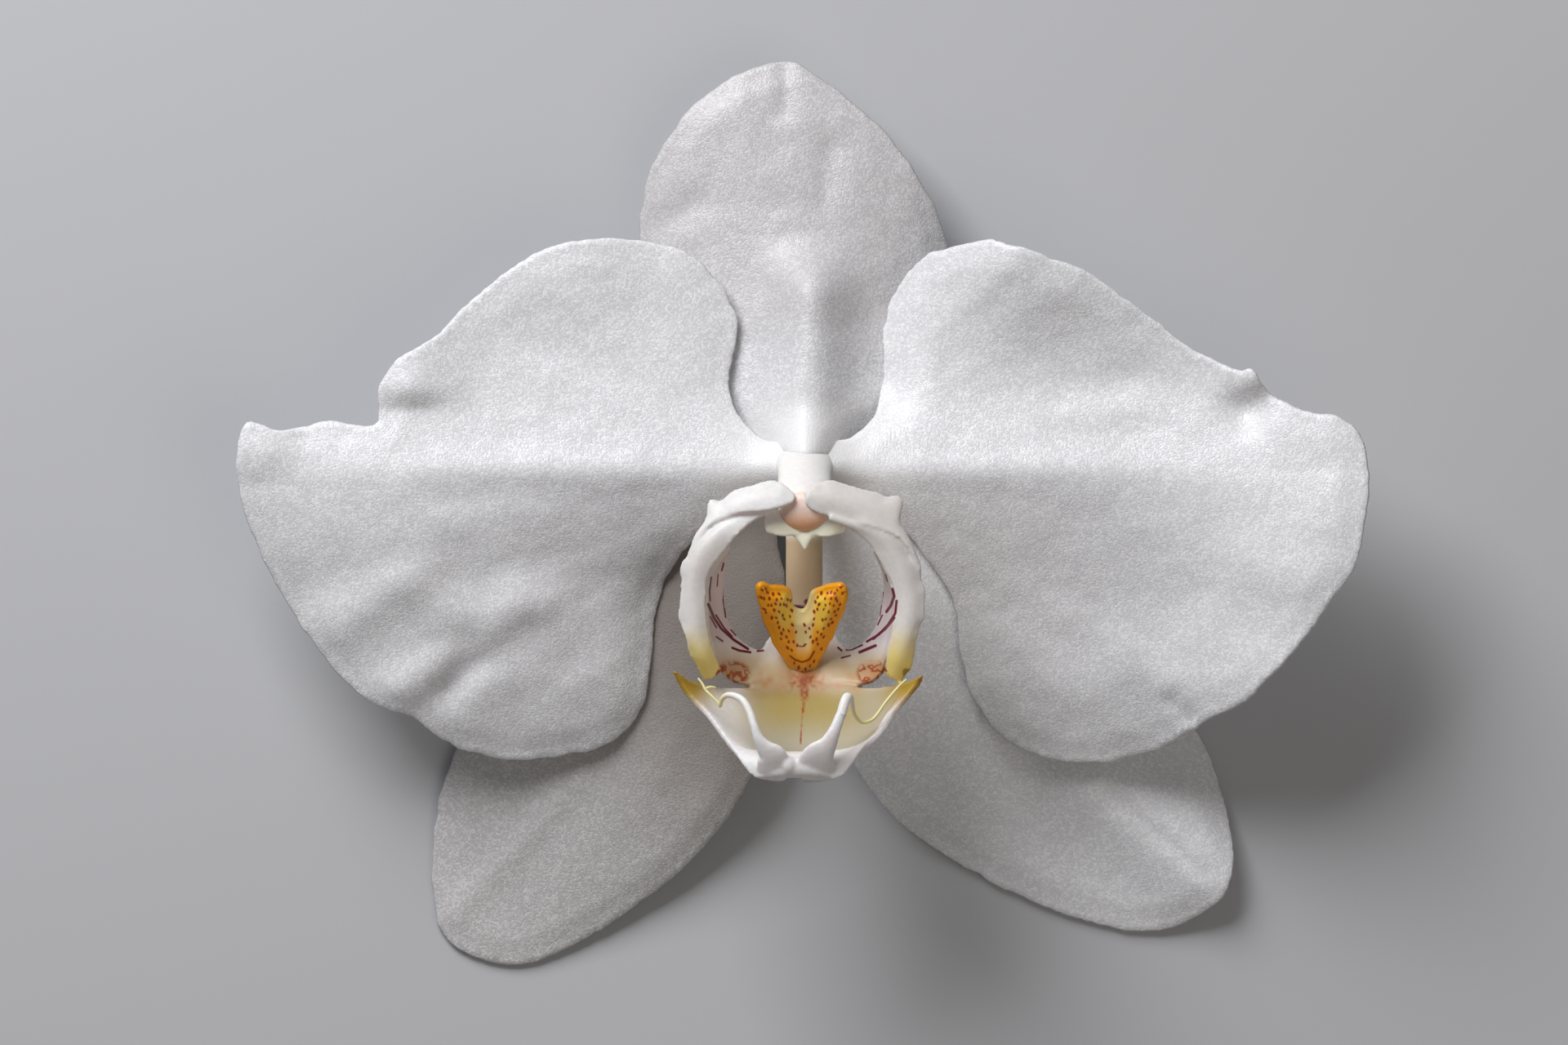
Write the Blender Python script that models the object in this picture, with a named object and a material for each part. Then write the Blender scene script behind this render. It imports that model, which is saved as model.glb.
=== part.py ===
# White moth orchid flower, picked and laid on its back, face up.
# World frame in metres: +X to the flower's right as it faces the viewer, +Y towards the dorsal sepal,
# +Z up, out of the flower's face. The origin is under the middle of the flower, on the surface.
# The design is worked out in millimetres in the flower's own frame: (0, 0) is the foot of the column,
# height 0 is the level of the petals, and the surface that the flower rests on is FLOOR below it.
import math

import bmesh
import bpy
from mathutils import Matrix, Vector
from mathutils.geometry import delaunay_2d_cdt

MM = 0.001

# Driving dimensions, in millimetres
SPAN = 100.0
FLOOR = -13.0
PETAL_THICK = 0.8
SEPAL_THICK = 0.9
LIP_THICK = 0.8
CALLUS_THICK = 1.5
SEPAL_DROP = 9.4
PETAL_GRID = 2.6
SEPAL_GRID = 2.7
CALLUS_GRID = 0.9

# Outlines are drawn for a flower 100 mm across and scaled to SPAN
DRAWN_SPAN = 100.0
SCALE = SPAN / DRAWN_SPAN

LEFT_PETAL = [
    (-2.6, 0.4), (-2.1, 1.9), (-4.3, 2.5), (-6.5, 5.2), (-6.8, 8.2), (-6.2, 11.0), (-6.3, 13.6), (-8.0, 16.6),
    (-11.0, 19.0), (-16.0, 20.05), (-21.0, 19.7), (-26.0, 17.6), (-30.0, 14.1), (-33.0, 11.2),
    (-36.2, 9.3), (-37.6, 7.0), (-37.5, 4.4), (-39.4, 3.3), (-43.0, 3.6), (-46.0, 3.1), (-48.9, 3.5),
    (-50.0, 2.4), (-50.3, -0.8), (-49.2, -5.6), (-46.2, -11.8), (-42.6, -17.2), (-38.6, -21.0),
    (-34.8, -22.5), (-31.6, -24.8), (-27.0, -26.1), (-22.0, -25.9), (-17.4, -24.6), (-14.6, -21.4),
    (-13.8, -17.0), (-13.4, -12.8), (-11.4, -8.2), (-7.6, -4.4), (-3.6, -2.4), (-2.0, -1.4),
]
RIGHT_PETAL = [
    (2.6, 0.4), (2.1, 1.9), (4.2, 2.3), (6.3, 4.3), (7.1, 7.4), (7.0, 10.6), (8.0, 14.9), (10.4, 18.1),
    (13.2, 19.4), (16.8, 19.85), (21.0, 18.6), (25.6, 16.8), (30.0, 13.6), (34.0, 10.6), (38.5, 8.35),
    (39.5, 8.5), (40.6, 7.2), (43.4, 5.1), (47.0, 4.3), (49.2, 2.8), (49.9, -1.2), (49.0, -7.8),
    (46.4, -12.3), (42.6, -17.2), (39.0, -20.9), (35.8, -22.5), (34.8, -23.4), (32.0, -25.0),
    (27.0, -26.4), (22.0, -26.1), (18.2, -24.5), (15.2, -20.6), (14.1, -16.4), (13.4, -12.2),
    (10.4, -7.4), (6.6, -4.0), (3.6, -2.3), (2.0, -1.4),
]
DORSAL_SEPAL = [
    (-2.8, 2.8), (-4.6, 2.5), (-7.6, 4.7), (-10.4, 8.6), (-13.0, 13.4), (-14.5, 18.8), (-14.4, 23.4),
    (-13.0, 27.9), (-9.9, 32.1), (-6.0, 34.9), (-2.0, 36.1), (0.8, 34.9), (4.0, 32.7), (7.1, 29.8),
    (10.0, 25.9), (12.0, 22.0), (13.1, 17.6), (12.4, 12.6), (9.9, 8.0), (7.3, 4.5), (4.5, 2.5),
    (2.8, 2.8),
]
LEFT_SEPAL = [
    (-2.7, -0.9), (-7.6, -2.8), (-14.0, -7.4), (-21.0, -13.0), (-27.2, -18.8), (-31.2, -25.6),
    (-33.1, -32.2), (-33.3, -38.2), (-32.4, -42.0), (-29.6, -44.2), (-25.2, -44.7), (-21.0, -43.2),
    (-15.0, -39.3), (-10.0, -35.1), (-6.4, -30.6), (-4.4, -26.6), (-2.9, -20.5), (-2.1, -14.6),
    (-1.9, -10.2), (-2.4, -6.4), (-2.1, -3.6), (-1.4, -1.8),
]
RIGHT_SEPAL = [
    (2.7, -0.9), (7.8, -2.6), (14.6, -6.6), (22.0, -11.6), (29.4, -17.0), (34.7, -23.1),
    (37.4, -29.2), (38.5, -34.6), (37.7, -38.2), (35.2, -40.5), (31.4, -41.8), (26.4, -41.1),
    (20.6, -39.1), (14.4, -35.9), (9.0, -32.1), (5.0, -27.5), (3.0, -22.0), (1.8, -16.0), (1.3, -10.6),
    (1.5, -6.0), (1.6, -3.6), (1.4, -1.8),
]
CALLUS = [
    (0.0, -18.4), (-1.3, -17.9), (-2.3, -16.2), (-3.1, -14.2), (-3.8, -12.6), (-4.1, -11.2),
    (-3.7, -10.6), (-2.9, -11.0), (-1.8, -11.5), (-0.9, -12.7), (0.0, -13.1), (0.6, -12.3),
    (1.3, -11.4), (2.6, -10.9), (3.3, -10.5), (3.7, -11.2), (3.2, -12.8), (2.7, -14.3), (2.1, -16.3),
    (1.3, -17.9),
]

# The lip's side lobes: lines that run along each lobe from the claw up to its tip over the column
LEFT_LOBE = {
    "back": [
        (-2.0, -15.2, 2.9), (-4.3, -16.1, 3.5), (-6.1, -14.8, 3.8), (-7.1, -11.8, 4.1),
        (-6.9, -8.6, 4.8), (-6.1, -5.9, 6.2), (-4.9, -3.9, 7.9), (-3.4, -3.7, 9.4), (-1.6, -4.0, 10.6),
    ],
    "bend": [
        (-3.1, -17.2, 3.8), (-6.4, -17.6, 7.0), (-8.1, -15.3, 8.8), (-8.6, -12.0, 9.4),
        (-8.0, -8.9, 9.8), (-6.1, -6.4, 10.1), (-4.4, -5.2, 10.4), (-2.9, -4.5, 10.8), (-1.4, -3.95, 11.1),
    ],
    "ridge": [
        (-4.8, -18.6, 5.3), (-8.6, -18.1, 9.2), (-10.2, -15.2, 10.3), (-10.6, -12.0, 10.7),
        (-10.2, -8.5, 11.2), (-8.2, -5.3, 11.6), (-5.9, -4.3, 11.8), (-3.3, -3.9, 11.7),
        (-1.2, -3.4, 11.6),
    ],
    "margin": [
        (-5.4, -19.1, 6.0), (-9.6, -18.3, 9.9), (-10.7, -15.2, 10.4), (-11.1, -12.0, 10.7),
        (-10.9, -8.0, 11.0), (-8.4, -3.6, 10.9), (-6.0, -2.1, 10.4), (-3.3, -1.5, 10.8),
        (-1.1, -2.6, 11.7),
    ],
}
RIGHT_LOBE = {
    "back": [
        (2.0, -15.2, 2.9), (4.2, -16.1, 3.5), (6.1, -14.8, 3.8), (7.1, -11.9, 4.1),
        (6.9, -8.8, 4.8), (6.0, -6.1, 6.2), (4.9, -4.1, 7.9), (3.3, -3.9, 9.4), (1.2, -4.1, 10.6),
    ],
    "bend": [
        (3.1, -17.2, 3.8), (6.4, -17.7, 7.0), (7.9, -15.3, 8.8), (8.1, -12.2, 9.4),
        (7.3, -9.2, 9.8), (5.5, -7.0, 10.1), (4.1, -5.7, 10.4), (2.6, -5.0, 10.8), (0.95, -4.1, 11.1),
    ],
    "ridge": [
        (4.8, -18.6, 5.3), (8.3, -18.3, 9.2), (9.7, -15.2, 10.3), (10.1, -12.3, 10.7),
        (9.7, -8.9, 11.2), (7.9, -6.4, 11.6), (5.7, -5.5, 11.8), (2.8, -4.5, 11.7), (0.7, -3.6, 11.6),
    ],
    "margin": [
        (5.4, -19.1, 6.0), (9.2, -18.5, 9.9), (10.3, -15.2, 10.4), (10.6, -12.3, 10.7),
        (10.1, -8.5, 11.0), (8.5, -4.0, 10.9), (6.3, -2.3, 10.4), (3.4, -1.6, 10.8), (0.8, -2.6, 11.7),
    ],
}
LOBE_ALONG = 22
LOBE_ACROSS = 8

# The lip's middle lobe: lines across it, from the claw to the tip, each from left to right
MIDLOBE = [
    [(-2.3, -14.6, 2.9), (-1.2, -14.5, 2.8), (0.0, -14.4, 2.7), (1.2, -14.5, 2.8), (2.3, -14.6, 2.9)],
    [(-3.7, -17.0, 3.9), (-1.9, -16.9, 3.5), (0.0, -16.8, 3.4), (1.9, -16.9, 3.5), (3.7, -17.0, 3.9)],
    [(-7.6, -19.8, 7.0), (-3.9, -19.2, 5.3), (0.0, -18.8, 4.5), (3.9, -19.2, 5.3), (7.6, -19.8, 7.0)],
    [(-9.5, -20.7, 9.4), (-5.2, -21.2, 7.4), (-0.1, -20.6, 6.2), (5.0, -21.2, 7.4), (9.0, -20.5, 9.4)],
    [(-8.2, -22.6, 10.9), (-4.6, -22.9, 9.4), (-0.2, -22.6, 8.6), (4.3, -22.9, 9.4), (7.6, -22.4, 10.9)],
    [(-6.4, -24.9, 12.9), (-3.6, -24.9, 11.9), (-0.4, -24.3, 11.1), (2.8, -24.9, 11.9), (6.0, -24.4, 12.9)],
    [(-4.6, -27.1, 14.8), (-2.9, -26.7, 14.2), (-0.7, -25.8, 13.2), (1.9, -26.7, 14.2), (4.4, -26.6, 14.8)],
    [(-3.7, -27.7, 15.6), (-2.2, -27.1, 15.2), (-0.6, -27.1, 14.8), (1.3, -27.2, 15.2), (2.6, -27.8, 15.6)],
]
MIDLOBE_THICK = 1.0

# Swept stems of the lip, the column and the stalk: points (x, y, height, half width, half thickness)
HORNS = {
    "left": [
        (-5.6, -21.6, 8.0, 1.2, 0.35), (-7.6, -20.9, 9.0, 1.3, 0.62), (-9.3, -19.8, 9.8, 1.0, 0.68),
        (-10.6, -18.8, 10.4, 0.65, 0.55), (-11.5, -18.1, 10.8, 0.3, 0.3),
    ],
    "right": [
        (5.2, -21.6, 8.0, 1.2, 0.35), (7.0, -20.9, 9.0, 1.3, 0.62), (8.6, -19.9, 9.8, 1.0, 0.68),
        (9.8, -19.0, 10.4, 0.65, 0.55), (10.6, -18.3, 10.8, 0.3, 0.3),
    ],
}
TENDRILS = {
    "left": [
        (-2.6, -27.0, 14.9, 1.2, 0.42), (-2.9, -25.9, 15.9, 1.5, 0.5), (-3.4, -24.4, 16.3, 1.2, 0.5),
        (-4.3, -22.6, 15.9, 0.8, 0.45), (-5.3, -21.1, 15.0, 0.55, 0.42), (-6.3, -20.4, 14.1, 0.45, 0.4),
        (-7.1, -20.6, 13.4, 0.38, 0.38), (-7.5, -21.5, 12.9, 0.34, 0.34), (-8.3, -20.6, 12.4, 0.32, 0.32),
        (-9.3, -19.0, 12.1, 0.3, 0.3),
    ],
    "right": [
        (1.4, -27.0, 14.9, 1.2, 0.42), (1.7, -25.7, 15.9, 1.35, 0.5), (2.1, -24.0, 16.2, 1.0, 0.5),
        (2.7, -22.2, 15.9, 0.7, 0.45), (3.3, -20.8, 15.1, 0.5, 0.42), (3.8, -20.2, 14.4, 0.42, 0.4),
        (4.2, -21.2, 13.8, 0.36, 0.36), (5.1, -22.7, 13.4, 0.34, 0.34), (6.3, -21.7, 13.0, 0.32, 0.32),
        (7.6, -20.2, 12.5, 0.32, 0.32), (8.3, -19.5, 12.2, 0.3, 0.3),
    ],
}
CLAW = [
    (0.0, -13.0, 2.2, 1.5, 0.65), (0.0, -14.4, 2.4, 1.9, 0.7), (0.0, -16.0, 2.8, 2.4, 0.7),
    (0.0, -17.6, 3.4, 2.6, 0.6),
]
COLUMN = [
    (0.0, 0.6, -2.7, 2.0, 1.9), (0.0, 0.4, -0.6, 2.1, 1.9), (0.0, 0.0, 1.4, 1.9, 1.7),
    (0.0, -0.9, 3.8, 2.1, 1.7), (0.0, -2.1, 6.0, 2.6, 1.9), (0.0, -3.2, 7.5, 2.9, 2.0),
    (0.0, -3.9, 8.3, 2.7, 1.8),
]
FOOT = [
    (0.0, -0.4, 0.2, 1.8, 1.1), (0.0, -3.0, 0.6, 1.7, 0.9), (0.0, -7.0, 1.0, 1.65, 0.8),
    (0.0, -10.5, 1.5, 1.6, 0.7), (0.0, -12.6, 2.0, 1.5, 0.65),
]
WINGS = {
    "left": [(-1.2, -4.6, 7.1, 1.0, 0.6), (-2.4, -5.1, 7.5, 1.15, 0.55), (-3.4, -5.2, 7.9, 1.0, 0.45)],
    "right": [(1.2, -4.6, 7.1, 1.0, 0.6), (2.4, -5.1, 7.5, 1.15, 0.55), (3.5, -5.2, 7.9, 1.0, 0.45)],
}
BEAK = [(0.0, -5.0, 6.9, 1.3, 0.6), (0.0, -6.3, 7.3, 0.9, 0.45), (0.0, -7.6, 7.9, 0.32, 0.32)]

# The anther cap is a hollow lid on the column's tip, with the two pollen masses inside it
CAP_BASE = (0.0, -4.1, 8.53)
CAP_TILT = 41.0
CAP_RADII = (1.9, 1.6)
CAP_HEIGHT = 1.6
CAP_WALL = 0.4
POLLEN_RADII = (0.5, 0.55, 0.4)
POLLEN_APART = 0.56
POLLEN_HEIGHT = 0.5
PEDICEL = [
    (0.0, 0.3, -3.0, 2.0, 2.0), (0.0, 0.5, -5.4, 1.9, 1.9), (0.1, 3.0, -8.9, 2.0, 2.0),
    (0.3, 7.6, -10.9, 2.0, 2.0), (0.5, 13.0, -11.4, 1.75, 1.75), (0.6, 20.0, -11.5, 1.55, 1.55),
    (0.5, 27.0, -11.6, 1.5, 1.5), (0.4, 31.0, -11.7, 1.6, 1.6),
]


def smooth_loop(points, spacing):
    """A closed smooth curve through the points, as places that lie evenly along it."""
    count = len(points)
    dense = []
    for i in range(count):
        p0, p1, p2, p3 = (Vector(points[(i + k - 1) % count]) for k in range(4))
        dense += [catmull(p0, p1, p2, p3, step / 12) for step in range(12)]
    return spread_evenly(dense + [dense[0]], spacing)[:-1]


def smooth_line(points, steps):
    """An open smooth curve through the points, read at steps + 1 places from end to end."""
    ends = [2 * Vector(points[0]) - Vector(points[1])]
    path = ends + [Vector(p) for p in points] + [2 * Vector(points[-1]) - Vector(points[-2])]
    spans = len(points) - 1
    line = []
    for step in range(steps + 1):
        place = spans * step / steps
        i = min(int(place), spans - 1)
        line.append(catmull(*path[i:i + 4], place - i))
    return line


def catmull(p0, p1, p2, p3, t):
    bend = 2 * p0 - 5 * p1 + 4 * p2 - p3
    twist = 3 * p1 - p0 - 3 * p2 + p3
    return 0.5 * (2 * p1 + (p2 - p0) * t + bend * t ** 2 + twist * t ** 3)


def spread_evenly(line, spacing):
    lengths = [0.0]
    for a, b in zip(line, line[1:]):
        lengths.append(lengths[-1] + (b - a).length)
    count = max(8, round(lengths[-1] / spacing))
    places, i = [], 0
    for step in range(count + 1):
        want = lengths[-1] * step / count
        while i < len(line) - 2 and lengths[i + 1] < want:
            i += 1
        share = (want - lengths[i]) / max(lengths[i + 1] - lengths[i], 1e-9)
        places.append(line[i].lerp(line[i + 1], share))
    return places


def ease(value, low, high):
    """0 below low, 1 above high, and a smooth rise between them."""
    t = min(1.0, max(0.0, (value - low) / (high - low)))
    return t * t * (3 - 2 * t)


def bump(x, y, at, radius, height):
    """A round swelling, or a dent where height is below 0."""
    return height * math.exp(-((x - at[0]) ** 2 + (y - at[1]) ** 2) / radius ** 2)


def fold(x, y, start, end, width, height):
    """A straight ridge from start to end, or a groove where height is below 0."""
    ax, ay = end[0] - start[0], end[1] - start[1]
    length = math.hypot(ax, ay)
    along = ((x - start[0]) * ax + (y - start[1]) * ay) / length
    across = ((x - start[0]) * ay - (y - start[1]) * ax) / length
    ends = ease(along, -width, width) * (1 - ease(along, length - width, length + width))
    return height * ends * math.exp(-(across / width) ** 2)


def petal_height(x, y, side):
    """Height of a petal: a roof along the midrib that flattens outwards, and long soft folds."""
    out = side * x
    reach = math.hypot(x, y)
    roof = 1.0 - ease(out, 16.0, 44.0)
    upper = max(0.0, y + 0.6)
    lower = max(0.0, -0.6 - y)
    z = -0.4 + 0.035 * reach
    z -= roof * (0.22 * upper + 0.012 * upper ** 2 - 0.0004 * upper ** 3)
    z -= roof * (2.6 * (1 - math.exp(-lower / 5.0)) - 0.05 * lower)
    z -= 1.6 * ease(out, 34.0, 52.0)
    z -= 1.4 * ease(-y, 16.0, 28.0) * ease(out, 14.0, 26.0)
    return z


def left_petal_height(x, y):
    z = petal_height(x, y, -1)
    z += fold(x, y, (-14, -6), (-36, -20.5), 3.6, 0.9)
    z -= fold(x, y, (-24, -5), (-44, -14), 3.0, 0.7)
    z -= fold(x, y, (-20, -12), (-31, -24), 3.0, 0.5)
    z += bump(x, y, (-35.2, 6.8), 2.4, -1.0)
    z += bump(x, y, (-48.6, 0.6), 2.2, -0.8)
    z += bump(x, y, (-38.0, 1.6), 3.0, 0.5)
    return z


def right_petal_height(x, y):
    z = petal_height(x, y, 1)
    z += fold(x, y, (9, 5), (10, 15), 3.2, 0.8)
    z += fold(x, y, (18, -8), (34, -17), 3.6, 0.6)
    z -= fold(x, y, (26, -4), (44, -10), 3.2, 0.6)
    z -= fold(x, y, (29, -16), (34.6, -23), 1.6, 0.6)
    z += bump(x, y, (40.0, 7.4), 1.6, 0.8)
    z -= bump(x, y, (40.6, 5.0), 2.2, 0.7)
    return z


def dorsal_height(x, y):
    z = -2.8 - 0.13 * y - 0.0004 * y ** 2
    z -= 0.020 * x ** 2 * (1 - 0.5 * ease(y, 18, 36))
    z += fold(x, y, (0.6, 4), (1.4, 20), 2.2, 0.9)
    z -= fold(x, y, (1.6, 19), (2.4, 30), 1.5, 0.4)
    z -= fold(x, y, (-1.8, 31), (-1.6, 37), 1.0, 0.4)
    return z


def sepal_height(x, y, tip, drop):
    """Height of a lateral sepal, which arches back until its tip touches the surface."""
    length = math.hypot(*tip)
    along = (x * tip[0] + y * tip[1]) / length
    across = (x * tip[1] - y * tip[0]) / length
    share = max(0.0, along) / length
    z = -2.7 - 0.8 * share - drop * share ** 2.2
    return z - 0.014 * across ** 2 * (1 - 0.4 * share)


def left_sepal_height(x, y):
    z = sepal_height(x, y, (-27.0, -42.5), SEPAL_DROP)
    return z + fold(x, y, (-18, -28), (-32, -41), 1.6, 0.35)


def right_sepal_height(x, y):
    z = sepal_height(x, y, (33.0, -38.5), SEPAL_DROP)
    return z - fold(x, y, (26, -28), (37, -37), 1.2, 0.45)


def callus_height(x, y):
    """The crest lies along the claw at its foot, and its two horns rise clear of it."""
    return 5.0 + 0.5 * math.hypot(y + 16.8, 0.5) + 0.1 * x ** 2 * ease(y, -17, -12)


def material(name, colour, roughness):
    made = bpy.data.materials.new(name)
    made.use_nodes = True
    shader = made.node_tree.nodes["Principled BSDF"]
    shader.inputs["Base Color"].default_value = (*colour, 1.0)
    shader.inputs["Roughness"].default_value = roughness
    shader.inputs["Metallic"].default_value = 0.0
    return made


def add_object(name, bm, finish):
    bmesh.ops.recalc_face_normals(bm, faces=bm.faces)
    for face in bm.faces:
        face.smooth = True
    mesh = bpy.data.meshes.new(name)
    bm.to_mesh(mesh)
    bm.free()
    mesh.materials.append(finish)
    obj = bpy.data.objects.new(name, mesh)
    bpy.context.collection.objects.link(obj)
    return obj


def blade(name, outline, height, thick, grid, finish):
    """A thin leaf-like sheet: a triangulated outline raised to its relief and given its thickness."""
    edge = smooth_loop([Vector(p) * SCALE for p in outline], grid)
    xs = [p.x for p in edge]
    ys = [p.y for p in edge]
    inner = []
    row_height = grid * math.sqrt(3) / 2
    for row in range(math.ceil((max(ys) - min(ys)) / row_height)):
        y = min(ys) + row * row_height
        for column in range(math.ceil((max(xs) - min(xs)) / grid) + 1):
            place = Vector((min(xs) + (column + 0.5 * (row % 2)) * grid, y))
            if min((place - p).length for p in edge) > 0.6 * grid and is_inside(place, edge):
                inner.append(place)
    loop = [(i, (i + 1) % len(edge)) for i in range(len(edge))]
    flat, _, faces, *_ = delaunay_2d_cdt(edge + inner, loop, [], 1, 1e-5)
    bm = bmesh.new()
    verts = [bm.verts.new(Vector((p.x, p.y, height(p.x / SCALE, p.y / SCALE) * SCALE)) * MM) for p in flat]
    for face in faces:
        bm.faces.new([verts[i] for i in face])
    obj = add_object(name, bm, finish)
    solidify(obj, thick * SCALE)
    return obj


def is_inside(place, edge):
    inside = False
    for a, b in zip(edge, edge[1:] + edge[:1]):
        if (a.y > place.y) != (b.y > place.y):
            if place.x < a.x + (place.y - a.y) / (b.y - a.y) * (b.x - a.x):
                inside = not inside
    return inside


def solidify(obj, thick):
    shell = obj.modifiers.new("thickness", "SOLIDIFY")
    shell.thickness = thick * MM
    shell.offset = 0.0
    shell.use_even_offset = True


def sheet(name, lines, along, across, thick, finish):
    """A curved sheet stretched over smooth lines that run side by side."""
    rows = [smooth_line(line, along) for line in lines]
    columns = [smooth_line([row[i] for row in rows], across) for i in range(along + 1)]
    bm = bmesh.new()
    grid = [[bm.verts.new(p * SCALE * MM) for p in column] for column in columns]
    for a, b in zip(grid, grid[1:]):
        for i in range(across):
            quad = bm.faces.new([a[i], b[i], b[i + 1], a[i + 1]])
            bmesh.ops.triangulate(bm, faces=[quad])
    obj = add_object(name, bm, finish)
    solidify(obj, thick * SCALE)
    return obj


def stem(name, points, steps, sides, finish):
    """A swept body with an oval section, whose width starts level and turns no more than it must."""
    places = smooth_line([p[:3] for p in points], steps)
    sizes = smooth_line([(p[3], p[4], 0.0) for p in points], steps)
    bm = bmesh.new()
    rings = []
    start = (places[1] - places[0]).normalized()
    wide = Vector((1, 0, 0)) if abs(start.z) > 0.9 else start.cross(Vector((0, 0, 1)))
    for i, place in enumerate(places):
        run = (places[min(i + 1, steps)] - places[max(i - 1, 0)]).normalized()
        wide = (wide - run * wide.dot(run)).normalized()
        deep = wide.cross(run)
        ring = []
        for k in range(sides):
            turn = 2 * math.pi * k / sides
            offset = wide * sizes[i].x * math.cos(turn) + deep * sizes[i].y * math.sin(turn)
            ring.append(bm.verts.new((place + offset) * SCALE * MM))
        rings.append(ring)
    bmesh.ops.contextual_create(bm, geom=rings[0])
    bmesh.ops.contextual_create(bm, geom=rings[-1])
    for a, b in zip(rings, rings[1:]):
        join_rings(bm, a, b)
    return add_object(name, bm, finish)


def cap_frame():
    """Places what is worked out in the anther cap's own frame, with its rim level at height 0."""
    tilt = Matrix.Rotation(math.radians(CAP_TILT), 4, "X")
    return Matrix.Scale(SCALE * MM, 4) @ Matrix.Translation(Vector(CAP_BASE)) @ tilt


def lid(name, finish, rings=5, sides=18):
    """A hollow dome: an outer and an inner quarter arc, turned about the lid's axis."""
    bm = bmesh.new()
    inner_radii = [r - CAP_WALL for r in CAP_RADII]
    skins = []
    for radii, height in ((CAP_RADII, CAP_HEIGHT), (inner_radii, CAP_HEIGHT - CAP_WALL)):
        skin = []
        for i in range(rings):
            rise = math.radians(90.0 * i / rings)
            ring = []
            for k in range(sides):
                turn = 2 * math.pi * k / sides
                x = radii[0] * math.cos(rise) * math.cos(turn)
                y = radii[1] * math.cos(rise) * math.sin(turn)
                ring.append(bm.verts.new((x, y, height * math.sin(rise))))
            skin.append(ring)
        top = bm.verts.new((0, 0, height))
        for a, b in zip(skin, skin[1:]):
            join_rings(bm, a, b)
        for k in range(sides):
            bm.faces.new([skin[-1][k], skin[-1][(k + 1) % sides], top])
        skins.append(skin)
    join_rings(bm, skins[0][0], skins[1][0])
    bmesh.ops.transform(bm, matrix=cap_frame(), verts=bm.verts)
    return add_object(name, bm, finish)


def join_rings(bm, a, b):
    count = len(a)
    for k in range(count):
        bm.faces.new([a[k], a[(k + 1) % count], b[(k + 1) % count], b[k]])


def pollen_mass(name, side, finish):
    bm = bmesh.new()
    bmesh.ops.create_uvsphere(bm, u_segments=12, v_segments=8, radius=1.0)
    place = Matrix.Translation((side * POLLEN_APART, 0.0, POLLEN_HEIGHT)) @ Matrix.Diagonal((*POLLEN_RADII, 1.0))
    bmesh.ops.transform(bm, matrix=cap_frame() @ place, verts=bm.verts)
    return add_object(name, bm, finish)


def fuse(body, pieces):
    """Joins pieces that grow from the body into it, as one closed solid."""
    roots = bpy.data.collections.new(body.name + "_pieces")
    for piece in pieces:
        roots.objects.link(piece)
    join = body.modifiers.new("join", "BOOLEAN")
    join.operation = "UNION"
    join.operand_type = "COLLECTION"
    join.use_self = True
    join.collection = roots
    apply_modifiers(body)
    for piece in pieces:
        bpy.data.objects.remove(piece)
    bpy.data.collections.remove(roots)


def apply_modifiers(obj):
    shaped = bpy.data.meshes.new_from_object(obj.evaluated_get(bpy.context.evaluated_depsgraph_get()))
    obj.modifiers.clear()
    obj.data = shaped
    shaped.name = obj.name


def press_flat(obj):
    """Presses what would reach below the surface that the flower lies on up to that surface."""
    apply_modifiers(obj)
    for vertex in obj.data.vertices:
        vertex.co.z = max(vertex.co.z, FLOOR * SCALE * MM)


def set_on_origin(objects):
    """Moves the whole flower so that the origin is under its middle, on the surface."""
    corners = [Vector(corner) for obj in objects for corner in obj.bound_box]
    middle = [(min(c[i] for c in corners) + max(c[i] for c in corners)) / 2 for i in range(2)]
    for obj in objects:
        obj.location = (-middle[0], -middle[1], -FLOOR * SCALE * MM)
    print("column foot at", [round(-m / MM, 3) for m in middle], -FLOOR * SCALE)


def build_tepals(white):
    blade("dorsal_sepal", DORSAL_SEPAL, dorsal_height, SEPAL_THICK, SEPAL_GRID, white)
    left = blade("left_lateral_sepal", LEFT_SEPAL, left_sepal_height, SEPAL_THICK, SEPAL_GRID, white)
    right = blade("right_lateral_sepal", RIGHT_SEPAL, right_sepal_height, SEPAL_THICK, SEPAL_GRID, white)
    press_flat(left)
    press_flat(right)
    blade("left_petal", LEFT_PETAL, left_petal_height, PETAL_THICK, PETAL_GRID, white)
    blade("right_petal", RIGHT_PETAL, right_petal_height, PETAL_THICK, PETAL_GRID, white)


def build_lip(white, orange):
    lip = stem("lip", CLAW, 6, 12, white)
    pieces = [sheet("midlobe", MIDLOBE, 10, 14, MIDLOBE_THICK, white)]
    for side, lobe in (("left", LEFT_LOBE), ("right", RIGHT_LOBE)):
        lines = [lobe[key] for key in ("back", "bend", "ridge", "margin")]
        pieces.append(sheet(side + "_lobe", lines, LOBE_ALONG, LOBE_ACROSS, LIP_THICK, white))
        pieces.append(stem(side + "_horn", HORNS[side], 6, 10, white))
        pieces.append(stem(side + "_tendril", TENDRILS[side], 22, 8, white))
    fuse(lip, pieces)
    blade("callus", CALLUS, callus_height, CALLUS_THICK, CALLUS_GRID, orange)


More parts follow.
